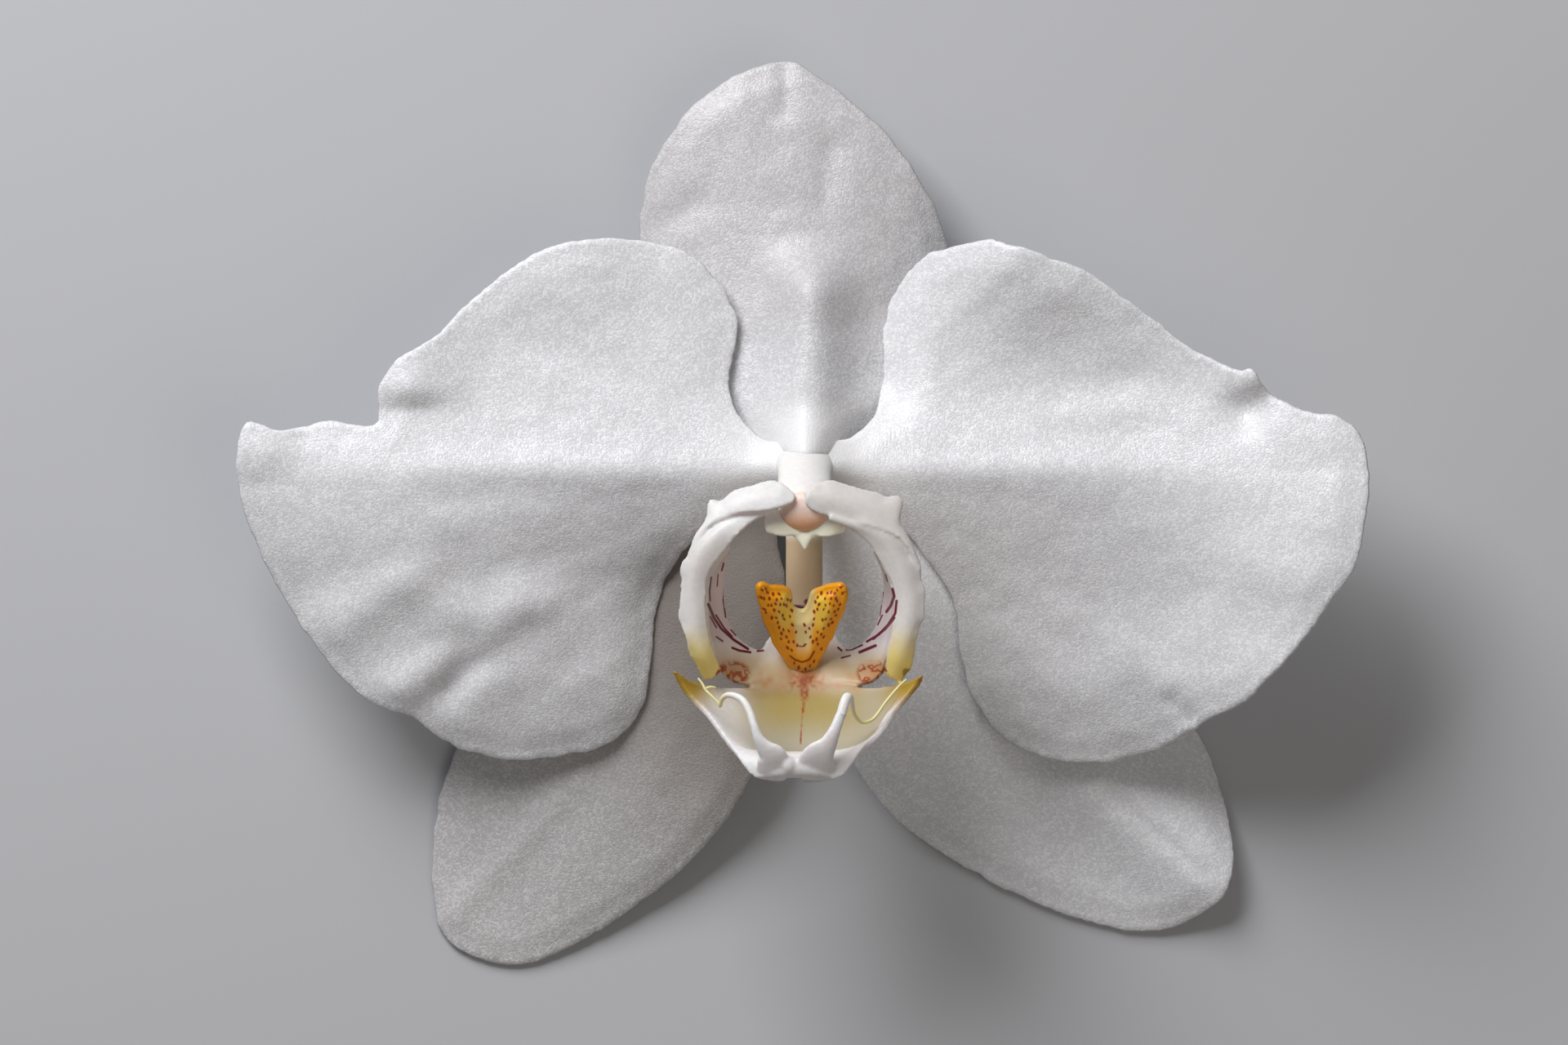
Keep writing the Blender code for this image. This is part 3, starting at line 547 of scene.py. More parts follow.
for name, outline, height, thick, seed, finish in (
        ("dorsal_sepal", DORSAL_SEPAL, dorsal_height, SEPAL_THICK, 11, shaded_dorsal_white),
        ("left_lateral_sepal", LEFT_SEPAL, left_sepal_height, SEPAL_THICK, 12, shaded_sepal_white),
        ("right_lateral_sepal", RIGHT_SEPAL, right_sepal_height, SEPAL_THICK, 13, petal_white),
        ("left_petal", LEFT_PETAL, left_petal_height, PETAL_THICK, 14, petal_white),
        ("right_petal", RIGHT_PETAL, right_petal_height, PETAL_THICK, 15, petal_white)):
    blade = make_piece(name + "_blade", *blade_body(outline, height, thick, seed, **BLADE_MESH))
    x, y, _ = flower_places(blade).T
    claw = (1 - ease(np.hypot(x, y + 11.0), 10.0, 31.0)) * ease(-y, 1.0, 6.0)
    # Painted shade, stored as an amount on each blade.
    store_amount(blade, "painted_shade", CLAW_PAINTED_SHADE.get(name, 0.0) * claw + OUTER_PAINTED_SHADE.get(name, 0.0) * ease(y, 7.0, 16.0))
    store_amount(blade, "smooth", 0.9 * (1 - ease(np.hypot(x, y + 1.5), 3.0, 11.0)))
    settle(blade, "petal", finish, name)


# %% [markdown]
# The lip: one petal folded into a ring, a bowl and two tendrils
#
# The lip is a single petal with many folds. Each side lobe is a broad white band that runs round the
# column, a flap that folds over at its top, and a thin wall that drops from the band's inner edge to the
# floor of the cup. The middle lobe is a bowl between two horns, and its front rim rolls up into two
# tendrils. All of them are drawn apart, as sheets stretched over a few lines and as swept stems, and
# then grown together: a voxel remesh turns them into one skin, as clay would be smoothed over the joins.

# %% Lines of the left side lobe
LEFT_BAND = [
    [(-7.3, -18.1, 8.95), (-8.1, -16.4, 9.85), (-8.5, -14.8, 10.25), (-8.7, -13.1, 10.45),
     (-8.75, -11.6, 10.55), (-8.65, -10.3, 10.65), (-8.3, -9.3, 10.8), (-7.5, -8.2, 10.85),
     (-6.8, -7.3, 10.92), (-5.9, -6.2, 11.25), (-4.6, -5.05, 11.0), (-3.4, -4.4, 11.0),
     (-2.4, -4.1, 11.0)],
    [(-8.0, -18.7, 9.15), (-8.9, -16.9, 10.35), (-9.5, -15.0, 10.75), (-9.8, -13.3, 10.85),
     (-9.9, -11.7, 10.85), (-9.8, -10.0, 10.95), (-9.4, -8.6, 11.1), (-8.7, -7.3, 11.15),
     (-7.8, -6.2, 11.13), (-6.7, -5.2, 11.0), (-5.2, -4.3, 10.7), (-3.7, -3.7, 10.6),
     (-2.5, -3.5, 10.6)],
    [(-8.9, -19.0, 8.9), (-9.8, -17.2, 9.9), (-10.5, -15.2, 10.3), (-10.9, -13.3, 10.3),
     (-11.0, -11.8, 10.3), (-10.9, -9.8, 10.3), (-10.5, -8.3, 10.45), (-9.8, -7.0, 10.4),
     (-8.8, -5.7, 10.28), (-7.7, -4.8, 10.15), (-6.0, -3.7, 9.95), (-4.2, -3.1, 9.95),
     (-2.6, -3.0, 9.95)],
]
LEFT_FLAP = [
    [(-10.0, -8.4, 10.8), (-9.3, -6.8, 10.8), (-8.6, -5.75, 10.8), (-7.9, -5.15, 10.9), (-7.1, -4.8, 11.0),
     (-6.1, -4.4, 11.2), (-5.0, -4.2, 11.4), (-3.9, -4.15, 11.5), (-2.9, -4.0, 11.6), (-2.0, -3.75, 11.5),
     (-1.2, -3.45, 11.4), (-0.8, -3.1, 11.2)],
    [(-10.1, -8.2, 10.6), (-9.4, -6.5, 10.6), (-8.6, -5.2, 10.6), (-8.0, -4.4, 10.6), (-7.2, -4.0, 10.7),
     (-6.2, -3.4, 10.9), (-5.0, -3.1, 11.1), (-3.9, -2.9, 11.2), (-2.9, -2.75, 11.2), (-2.0, -2.7, 11.2),
     (-1.3, -2.75, 11.1), (-0.85, -2.9, 11.1)],
    [(-10.2, -8.0, 10.4), (-9.5, -6.2, 10.3), (-8.6, -4.9, 10.2), (-8.3, -3.25, 10.1), (-7.4, -3.2, 10.2),
     (-6.2, -2.4, 10.3), (-5.0, -2.0, 10.4), (-3.9, -1.6, 10.4), (-2.9, -1.45, 10.4), (-2.0, -1.65, 10.6),
     (-1.3, -2.15, 10.8), (-0.85, -2.7, 10.9)],
]
LEFT_WALL = [
    [(-6.5, -7.2, 9.0), (-7.0, -8.6, 7.0), (-7.2, -10.2, 5.8), (-7.25, -12.0, 5.0), (-6.85, -13.6, 4.5),
     (-6.1, -15.1, 4.0), (-5.0, -16.05, 3.6), (-3.9, -16.4, 3.4), (-3.3, -15.6, 3.1), (-2.6, -14.6, 2.9)],
    [(-6.6, -7.2, 9.6), (-7.5, -8.7, 8.2), (-8.0, -10.2, 7.2), (-8.15, -12.0, 6.6), (-7.9, -14.0, 6.1),
     (-7.3, -16.0, 5.6), (-6.2, -17.6, 4.9), (-4.8, -18.3, 4.4), (-3.2, -17.6, 3.9), (-2.0, -16.0, 3.3)],
    [(-6.7, -7.2, 10.6), (-7.7, -8.6, 10.6), (-8.55, -10.3, 10.45), (-8.7, -12.0, 10.3), (-8.6, -14.3, 10.0),
     (-8.1, -16.4, 9.5), (-7.3, -18.2, 7.8), (-5.9, -19.3, 6.3), (-3.6, -19.5, 5.3), (-1.2, -19.2, 4.6)],
]

# %% Lines of the right side lobe
RIGHT_BAND = [
    [(7.1, -18.3, 8.95), (7.3, -17.0, 9.65), (7.75, -15.4, 10.15), (8.1, -14.1, 10.35),
     (8.2, -12.9, 10.45), (8.05, -11.6, 10.55), (7.7, -10.3, 10.65), (7.15, -9.3, 10.65),
     (6.5, -8.1, 10.75), (5.7, -6.95, 10.85), (4.7, -6.0, 10.95), (3.5, -5.35, 11.05),
     (2.2, -4.8, 11.15)],
    [(7.7, -18.8, 9.15), (8.3, -17.3, 10.15), (8.8, -15.6, 10.65), (9.1, -14.2, 10.85),
     (9.25, -12.8, 10.95), (9.1, -11.2, 10.95), (8.8, -9.8, 11.05), (8.3, -8.6, 11.15),
     (7.6, -7.3, 11.25), (6.6, -6.3, 11.35), (5.3, -5.6, 11.35), (3.8, -5.1, 11.35),
     (2.2, -4.6, 11.35)],
    [(8.5, -19.1, 8.9), (9.4, -17.6, 9.7), (10.0, -15.4, 10.1), (10.3, -13.9, 10.3),
     (10.5, -12.7, 10.4), (10.5, -10.8, 10.4), (10.3, -9.6, 10.4), (9.9, -8.4, 10.5),
     (9.1, -7.1, 10.7), (7.7, -6.1, 10.9), (6.0, -5.4, 11.0), (4.0, -4.9, 11.0), (2.2, -4.4, 11.0)],
]
RIGHT_FLAP = [
    [(10.2, -9.4, 10.8), (9.5, -7.9, 11.1), (8.3, -6.5, 11.3), (6.9, -5.8, 11.4), (5.4, -5.35, 11.5),
     (4.0, -5.0, 11.2), (2.4, -4.6, 11.1), (1.3, -4.3, 11.1), (0.5, -3.9, 11.1), (0.05, -3.4, 11.1)],
    [(10.1, -9.0, 10.6), (9.2, -7.0, 10.8), (8.3, -5.6, 10.8), (7.8, -4.6, 10.8), (6.2, -3.9, 11.0),
     (4.3, -3.5, 11.2), (2.8, -3.1, 11.2), (1.5, -3.0, 11.2), (0.6, -2.9, 11.1), (0.05, -3.0, 11.1)],
    [(10.0, -8.7, 10.3), (9.1, -6.4, 10.2), (8.35, -4.9, 10.1), (8.5, -3.1, 10.0), (6.9, -2.7, 10.1),
     (5.0, -2.15, 10.3), (2.7, -1.45, 10.4), (1.4, -1.6, 10.5), (0.5, -2.0, 10.8), (0.05, -2.6, 10.9)],
]
RIGHT_WALL = [
    [(6.2, -7.6, 9.0), (6.9, -9.0, 7.0), (7.15, -10.3, 6.0), (7.05, -12.0, 5.1), (6.6, -13.8, 4.5),
     (6.0, -15.0, 4.0), (5.0, -15.95, 3.6), (3.9, -16.4, 3.4), (3.1, -15.8, 3.1), (2.5, -14.6, 2.9)],
    [(6.3, -7.6, 9.6), (7.1, -9.1, 8.2), (7.55, -10.6, 7.3), (7.65, -12.2, 6.7), (7.3, -14.2, 6.1),
     (6.8, -16.0, 5.6), (5.9, -17.5, 4.9), (4.6, -18.2, 4.4), (3.1, -17.6, 3.9), (2.0, -16.0, 3.3)],
    [(6.4, -7.6, 10.6), (7.2, -9.2, 10.55), (7.8, -10.6, 10.45), (8.15, -12.3, 10.3), (7.95, -14.7, 10.05),
     (7.4, -16.7, 9.5), (6.9, -18.3, 7.8), (5.7, -19.3, 6.3), (3.6, -19.5, 5.3), (1.2, -19.2, 4.6)],
]

# %% Lines of the middle lobe, its rolled rim, its tendrils and its claw
MIDLOBE = [
    [(-11.6, -18.1, 10.9), (-9.9, -19.15, 9.7), (-7.2, -19.75, 7.6), (-3.6, -19.7, 5.4), (0.0, -19.3, 4.6),
     (3.6, -19.7, 5.4), (6.9, -19.75, 7.6), (9.0, -19.2, 9.7), (10.5, -18.5, 10.9)],
    [(-10.9, -19.4, 10.6), (-9.5, -20.0, 9.5), (-7.0, -20.5, 8.0), (-3.6, -20.9, 6.3), (0.0, -20.8, 5.6),
     (3.6, -20.9, 6.3), (6.6, -20.5, 8.0), (8.7, -20.0, 9.5), (10.1, -19.2, 10.6)],
    [(-10.0, -20.6, 10.7), (-8.6, -21.2, 10.0), (-6.6, -21.7, 9.0), (-3.6, -22.2, 7.8), (-0.1, -22.3, 7.1),
     (3.4, -22.2, 7.8), (6.3, -21.7, 9.0), (8.0, -21.1, 10.0), (9.2, -20.3, 10.7)],
    [(-8.7, -21.9, 11.3), (-7.6, -22.5, 11.0), (-5.8, -23.1, 10.3), (-3.2, -23.6, 9.4), (-0.2, -23.9, 8.8),
     (2.9, -23.6, 9.4), (5.6, -23.0, 10.3), (7.2, -22.3, 11.0), (8.1, -21.6, 11.3)],
    [(-7.0, -24.2, 12.5), (-6.2, -24.5, 12.3), (-4.8, -24.8, 11.8), (-2.8, -25.0, 11.2), (-0.4, -25.2, 10.8),
     (2.2, -25.0, 11.2), (4.4, -24.7, 11.8), (5.9, -24.2, 12.3), (6.8, -23.4, 12.5)],
    [(-5.4, -26.3, 13.9), (-4.9, -26.2, 14.1), (-4.0, -26.1, 14.5), (-2.4, -26.0, 14.9), (-0.6, -25.8, 14.4),
     (1.4, -26.0, 14.9), (3.0, -25.9, 14.5), (4.2, -25.6, 14.1), (4.9, -25.3, 13.9)],
    [(-4.35, -27.45, 14.5), (-3.8, -27.55, 14.7), (-3.1, -27.35, 14.8), (-2.2, -27.1, 14.7),
     (-1.2, -27.4, 14.6), (0.2, -27.1, 14.7), (1.5, -27.3, 14.8), (2.5, -27.65, 14.7), (3.4, -27.3, 14.5)],
]
RIM = [
    [(-3.9, -27.2, 14.6, 0.4, 0.4), (-2.4, -26.8, 15.1, 0.75, 0.6), (-1.2, -26.6, 15.2, 0.9, 0.7),
     (-0.3, -26.6, 15.2, 0.9, 0.7), (1.0, -26.8, 15.1, 0.75, 0.6), (2.6, -27.3, 14.6, 0.4, 0.4)],
    [(-1.6, -25.7, 15.3, 0.4, 0.4), (-1.45, -26.15, 15.6, 0.64, 0.6), (-1.35, -26.7, 15.5, 0.6, 0.55),
     (-1.35, -27.2, 15.0, 0.4, 0.4)],
]
RIBBONS = [
    [(-2.9, -27.6, 14.4, 1.15, 0.35), (-2.8, -27.0, 15.0, 1.4, 0.42), (-2.75, -26.2, 15.5, 1.45, 0.45),
     (-2.85, -25.5, 15.9, 1.3, 0.45), (-3.5, -24.8, 16.1, 0.82, 0.42), (-4.05, -23.95, 16.2, 0.5, 0.4),
     (-4.4, -22.9, 16.1, 0.39, 0.38), (-4.8, -21.8, 15.7, 0.35, 0.34)],
    [(1.1, -27.7, 14.4, 1.3, 0.35), (1.05, -27.0, 15.0, 1.6, 0.42), (1.0, -26.2, 15.5, 1.7, 0.45),
     (1.35, -25.4, 15.9, 1.45, 0.45), (2.05, -24.5, 16.1, 0.88, 0.42), (2.6, -23.4, 16.2, 0.58, 0.4),
     (3.0, -22.4, 16.0, 0.5, 0.38), (3.4, -21.4, 15.7, 0.46, 0.36)],
]
THREADS = [
    [(-4.5, -22.6, 16.0, 0.34, 0.34), (-4.8, -21.7, 15.7, 0.34, 0.34), (-5.35, -20.75, 15.3, 0.32, 0.32),
     (-6.1, -20.3, 14.8, 0.29, 0.29), (-6.8, -20.25, 14.3, 0.25, 0.25), (-7.25, -20.65, 13.8, 0.22, 0.22),
     (-7.4, -21.2, 13.4, 0.16, 0.16), (-7.5, -21.0, 13.0, 0.12, 0.12), (-8.2, -20.3, 12.7, 0.11, 0.11),
     (-8.7, -19.8, 12.4, 0.11, 0.11), (-8.96, -19.3, 12.2, 0.1, 0.1), (-9.34, -18.8, 12.0, 0.08, 0.08)],
    [(-8.75, -19.75, 12.4, 0.1, 0.1), (-8.3, -19.55, 12.5, 0.1, 0.1), (-7.8, -19.6, 12.5, 0.07, 0.07)],
    [(3.2, -22.0, 15.9, 0.44, 0.36), (3.5, -20.9, 15.6, 0.43, 0.35), (3.75, -20.35, 15.2, 0.38, 0.32),
     (4.05, -20.5, 14.7, 0.28, 0.28), (4.2, -21.3, 14.2, 0.21, 0.21), (4.45, -22.1, 13.7, 0.17, 0.17),
     (5.05, -22.65, 13.3, 0.16, 0.16), (5.8, -22.5, 13.0, 0.15, 0.15), (6.35, -22.0, 12.8, 0.14, 0.14),
     (7.2, -20.8, 12.6, 0.13, 0.13), (8.3, -19.5, 12.3, 0.11, 0.11), (8.95, -18.9, 12.1, 0.08, 0.08)],
]
CLAW = [
    (0.0, -13.0, 2.2, 1.5, 0.65), (0.0, -14.4, 2.4, 1.9, 0.7), (0.0, -16.0, 2.8, 2.4, 0.7),
    (0.0, -17.6, 3.5, 2.6, 0.6), (0.0, -19.0, 4.2, 2.4, 0.5), (0.0, -20.2, 5.0, 2.2, 0.4),
]
JOINT = [
    (-5.0, -19.4, 5.4, 0.6, 0.6), (-2.5, -19.2, 4.15, 0.85, 0.85), (0.0, -19.0, 3.65, 0.95, 0.95),
    (2.5, -19.2, 4.15, 0.85, 0.85), (5.0, -19.4, 5.4, 0.6, 0.6),
]
print("lines of the lip:", sum(len(part) for part in (
    LEFT_BAND, LEFT_FLAP, LEFT_WALL, RIGHT_BAND, RIGHT_FLAP, RIGHT_WALL, MIDLOBE, RIM, RIBBONS, THREADS)))


# %% Sheets as closed bodies
def sheet_body(lines, along, across, thick, rim):
    """A sheet over lines that run side by side, thick in its middle and thin at its last line."""
    rows = np.stack([smooth_curve(line, along) for line in lines])
    grid = np.stack([smooth_curve(rows[:, i], across) for i in range(along + 1)])
    du, dv = np.gradient(grid, axis=0), np.gradient(grid, axis=1)
    normal = np.cross(du, dv)
    normal /= np.linalg.norm(normal, axis=2)[:, :, None]
    share = np.linspace(0, 1, across + 1)[None, :, None]
    half = 0.5 * (thick + (rim - thick) * ease(share, 0.6, 1.0))
    skins = [(grid + half * normal).reshape(-1, 3), (grid - half * normal).reshape(-1, 3)]
    number = np.arange((along + 1) * (across + 1)).reshape(along + 1, across + 1)
    corners = [number[:-1, :-1], number[1:, :-1], number[1:, 1:], number[:-1, 1:]]
    quads = np.stack(corners, axis=2).reshape(-1, 4)
    border = np.concatenate([number[0, :-1], number[:-1, -1], number[-1, :0:-1], number[:0:-1, 0]])
    shift = number.size
    faces = quads.tolist() + (quads[:, ::-1] + shift).tolist()
    for a, b in zip(border, np.roll(border, -1)):
        faces.append([a, a + shift, b + shift, b])
    return np.concatenate(skins), faces


RING_MIDDLE = (-0.3, -11.0)


def frilled(lines, amount, seed):
    """The same lines, with the last one waved out and in as seen from the middle of the ring."""
    rim = smooth_curve(lines[-1], 60)
    out = rim[:, :2] - RING_MIDDLE
    out /= np.linalg.norm(out, axis=1)[:, None]
    run = np.cumsum(np.linalg.norm(np.gradient(rim, axis=0), axis=1))
    wave = amount * (lumps(run, 0 * run, 1.1, seed) + 0.4 * lumps(run, 0 * run, 0.5, seed + 1))
    rim[:, :2] += out * wave[:, None]
    rim[:, 2] += 1.5 * amount * lumps(run, 0 * run, 1.6, seed + 2)
    return lines[:-1] + [rim]


# %% Stems as closed bodies
def stem_body(points, steps, sides):
    """A swept body with an oval section, whose width starts level and turns no more than it must."""
    line = smooth_curve(points, steps)
    places, sizes = line[:, :3], line[:, 3:]
    run = np.gradient(places, axis=0)
    run /= np.linalg.norm(run, axis=1)[:, None]
    wide = np.array([1.0, 0, 0]) if abs(run[0][2]) > 0.9 else np.cross(run[0], (0, 0, 1))
    turn = np.linspace(0, 2 * math.pi, sides, endpoint=False)
    verts = []
    for place, size, ahead in zip(places, sizes, run):
        wide = wide - ahead * wide.dot(ahead)
        wide /= np.linalg.norm(wide)
        deep = np.cross(wide, ahead)
        verts.append(place + size[0] * np.cos(turn)[:, None] * wide + size[1] * np.sin(turn)[:, None] * deep)
    faces = [list(range(sides))[::-1], [steps * sides + k for k in range(sides)]]
    for i in range(steps):
        for k in range(sides):
            a, b = i * sides + k, i * sides + (k + 1) % sides
            faces.append([a, b, b + sides, a + sides])
    return np.concatenate(verts), faces


# %% Growing bodies together
def gather(bodies):
    """Several bodies as one list of points and one of faces."""
    verts, faces, start = [], [], 0
    for body_verts, body_faces in bodies:
        verts.append(body_verts)
        faces += [[i + start for i in face] for face in body_faces]
        start += len(body_verts)
    return np.concatenate(verts), faces


def grow_together(name, bodies, voxel, rounds):
    """Melts closed bodies that cross each other into one skin."""
    piece = make_piece(name, *gather(bodies))
    melt = piece.modifiers.new("melt", "REMESH")
    melt.mode = "VOXEL"
    melt.voxel_size = voxel * MM
    melt.use_smooth_shade = True
    soften = piece.modifiers.new("soften", "SMOOTH")
    soften.factor = 0.5
    soften.iterations = rounds
    merged = bpy.data.meshes.new_from_object(piece.evaluated_get(bpy.context.evaluated_depsgraph_get()))
    piece.modifiers.clear()
    piece.data = merged
    print(name, "melted to", len(merged.vertices), "points")
    return piece


# %% The lip in one skin, and the thin ends of its tendrils
LIP_VOXEL = 0.17
lip_bodies = [
    stem_body(CLAW, steps=20, sides=24),
    stem_body(JOINT, steps=60, sides=16),
    sheet_body(MIDLOBE, along=120, across=80, thick=0.55, rim=0.8),
]
for band, seed in ((LEFT_BAND, 61), (RIGHT_BAND, 64)):
    lip_bodies.append(sheet_body(frilled(band, 0.16, seed), along=140, across=30, thick=0.5, rim=0.36))
for flap, frill, seed, along in ((LEFT_FLAP, 0.08, 67, 80), (RIGHT_FLAP, 0.1, 70, 100)):
    lip_bodies.append(sheet_body(frilled(flap, frill, seed), along=along, across=24, thick=0.45, rim=0.4))
for wall in (LEFT_WALL, RIGHT_WALL):
    lip_bodies.append(sheet_body(wall, along=80, across=40, thick=0.45, rim=0.45))
lip_bodies += [stem_body(points, steps=40, sides=20) for points in RIM + RIBBONS]
lip = grow_together("lip_skin", lip_bodies, voxel=LIP_VOXEL, rounds=2)
threads = make_piece("lip_threads", *gather([stem_body(points, steps=120, sides=14) for points in THREADS]))

# %% [markdown]
# Marks and painted shade on the lip
#
# The colours of the lip are pigments in its cells: crimson strokes along the veins of the two walls, a rusty
# net at the corners of the cup, a red line down the middle lobe, and yellow at all its ends. Painted shade
# darkens the floor of the middle lobe, the bands of the ring and the right flap. Each mark is drawn where it
# grows, as a few strokes in flower millimetres, and its amounts are stored at the points of the skin, as the
# painted shade of the petals is. The skin is cut finer where the strokes run, on its upper side only, so
# that they come out sharp.

# %% Strokes of pigment: the points of each line and its half width
CRIMSON = [
    ([(-7.13, -8.71), (-7.3, -9.35)], 0.06), ([(-7.62, -9.67), (-7.71, -10.74)], 0.04),
    ([(-8.2, -9.9), (-8.37, -11.16), (-8.3, -12.0)], 0.05),
    ([(-7.03, -10.3), (-7.18, -12.0), (-6.96, -13.5)], 0.05),
    ([(-8.46, -12.3), (-7.99, -13.5), (-7.35, -14.5), (-6.24, -15.5), (-5.0, -16.3)], 0.09),
    ([(-8.3, -13.4), (-7.77, -14.4)], 0.05), ([(-7.77, -15.2), (-7.24, -15.6)], 0.06),
    ([(-6.37, -16.2), (-5.75, -16.45), (-4.79, -16.6)], 0.08), ([(-6.5, -14.6), (-6.07, -15.1)], 0.05),
    ([(-4.15, -16.5), (-3.64, -16.45)], 0.07), ([(-7.8, -13.3), (-7.13, -14.4), (-6.4, -15.2)], 0.06),
    ([(7.15, -9.67), (7.32, -10.3)], 0.04), ([(7.0, -11.2), (6.7, -13.4)], 0.03),
    ([(7.75, -10.95), (7.9, -11.6), (7.62, -12.45), (7.26, -13.0)], 0.09),
    ([(8.11, -12.0), (8.0, -13.1), (7.37, -14.15), (6.62, -15.0), (5.55, -15.65)], 0.08),
    ([(7.9, -13.5), (7.15, -14.5), (6.1, -15.4)], 0.09),
    ([(5.13, -15.96), (4.27, -16.35), (3.74, -16.4)], 0.06),
    ([(3.0, -16.2), (3.3, -16.45)], 0.07), ([(6.3, -16.0), (5.6, -16.3), (4.9, -16.6)], 0.1),
    ([(6.9, -13.3), (6.5, -14.15)], 0.05), ([(3.31, -17.1), (4.06, -16.9)], 0.06),
]
RED_LINE = [
    ([(0.0, -18.6), (0.05, -19.6), (-0.08, -20.6), (-0.2, -22.2), (-0.35, -24.6)], 0.06),
    ([(-0.5, -18.9), (-0.15, -19.5), (-0.2, -20.2)], 0.1),
    ([(0.6, -18.8), (0.25, -19.5), (0.15, -20.3)], 0.1),
    ([(-1.2, -18.4), (-0.5, -19.0)], 0.08), ([(1.2, -18.3), (0.55, -18.9)], 0.08),
    ([(0.0, -18.3), (0.0, -20.6)], 0.34), ([(0.0, -20.6), (-0.1, -21.8)], 0.11),
]
print(len(CRIMSON), "crimson strokes and", len(RED_LINE), "strokes of the red line")


# %% Distance to strokes, and finer faces near them
def from_strokes(x, y, strokes):
    """Distance to the nearest stroke, counted in half widths of that stroke."""
    least = np.full(len(x), 1e6)
    for points, width in strokes:
        for (ax, ay), (bx, by) in zip(points, points[1:]):
            run = np.array([bx - ax, by - ay])
            t = np.clip(((x - ax) * run[0] + (y - ay) * run[1]) / run.dot(run), 0, 1)
            away = np.hypot(x - ax - t * run[0], y - ay - t * run[1])
            least = np.minimum(least, away / width)
    return least


def cut_finer(piece, close):
    """Splits the faces that face up and for which close(x, y, z) holds at any corner."""
    near = close(*flower_places(piece).T)
    bm = bmesh.new()
    bm.from_mesh(piece.data)
    bm.verts.ensure_lookup_table()
    marked = [face for face in bm.faces if face.normal.z > 0 and any(near[v.index] for v in face.verts)]
    edges = {edge for face in marked for edge in face.edges}
    bmesh.ops.subdivide_edges(bm, edges=list(edges), cuts=1, use_grid_fill=True)
    bm.to_mesh(piece.data)
    bm.free()
    print(piece.name, "cut finer to", len(piece.data.vertices), "points")


# %% Where the fine marks of the lip are
RING_EDGE = ([point[:2] for point in LEFT_BAND[0]] + [point[:2] for point in RIGHT_BAND[0][::-1]]
             + [(5.2, -19.9), (0.0, -20.3), (-5.2, -19.9)])


def in_cup(x, y):
    """Whether a place lies inside the ring, as seen from above."""
    return inside(np.stack([x, y], axis=1), smooth_curve(RING_EDGE, 240, closed=True)[:-1])


def rusty_net(x, y):
    """A squiggly net in both corners of the cup."""
    reach = np.minimum(np.hypot((np.abs(x + 0.1) - 6.3) / 1.5, (y + 18.5) / 1.1), 4.0)
    squiggle = np.abs(lumps(x, y, 0.5, 41) + 0.5 * lumps(x, y, 0.27, 42))
    return (1 - ease(reach, 0.8, 1.25)) * (0.25 + 0.75 * (1 - ease(squiggle, 0.14, 0.46)))


def fine_marks(x, y, z):
    """Where the skin is cut finer once, for all its marks."""
    marked = from_strokes(x, y, CRIMSON) < 3.0
    marked |= from_strokes(x, y, RED_LINE) < 2.5
    marked |= np.hypot(x, y + 18.9) < 1.6
    marked |= (rusty_net(x, y) > 0.1) & (z < 10.0)
    return marked & (y < -8.0)


def stroke_marks(x, y, z):
    """Where it is cut finer once more, for the thin crimson strokes."""
    return (from_strokes(x, y, CRIMSON) < 2.2) & (y < -8.0) & (z < 10.0) & (z > 2.0)


cut_finer(lip, fine_marks)
cut_finer(lip, stroke_marks)

# %% Pigments of the ring and its walls, and painted shade on its bands and flap
x, y, z = flower_places(lip).T
cup = in_cup(x, y) & (z < 10.0)
strokes = 1 - ease(from_strokes(x, y, CRIMSON), 0.9, 1.8)
store_amount(lip, "crimson", strokes * (cup | (y > -17.0)))
store_amount(lip, "lilac", cup * (1 - ease(-y, 14.5, 17.0)) * ease(np.abs(x), 3.0, 6.0))
store_amount(lip, "cream", cup * ease(-y, 15.5, 18.0))
band_end = ease(-y, 13.4, 17.6) * (~cup) * (y > -19.4) * (np.abs(x) > 6.2)
store_amount(lip, "yellow", 0.85 * band_end)
# Painted shade on the bands of the ring and on the right flap, stored below with the amount named clear.
ring_shade = 0.22 * ease(-y, 4.8, 8.0) * (z > 8.5) * (y > -18.0)
flap_shade = 0.3 * ease(x, -0.4, 0.4) * (y > -7.5)
side_shade = np.maximum(ring_shade, flap_shade)

# %% Pigments and painted shade of the middle lobe and its horns
bowl = ease(-y, 18.5, 20.3) * (z < 0.62 * (-19.0 - y) + 9.3)
# The amount named clear is painted shade: a duller, darker colour on the floor of the middle lobe, weaker to
# its left, and on the bands and the right flap.
store_amount(lip, "clear", np.maximum(bowl * (1 - 0.85 * ease(-x, 3.6, 6.4)), side_shade))
# The bowl's real yellow, painted darker and more olive as painted shade.
gold_with_painted_shade = (1 - ease(np.abs(x), 1.5, 8.5)) * ease(-y, 18.6, 20.6) * (1 - ease(-y, 21.5, 25.2)) * bowl
store_amount(lip, "gold_and_painted_shade", 0.8 * gold_with_painted_shade)
horn = ease(np.abs(x + 0.5), 5.8, 9.4) * (1 - ease(-y, 19.8, 22.6)) * (y < -18.0)
store_amount(lip, "olive", horn * ((np.abs(x + 0.5) > 9.2) | (y < -19.2)))

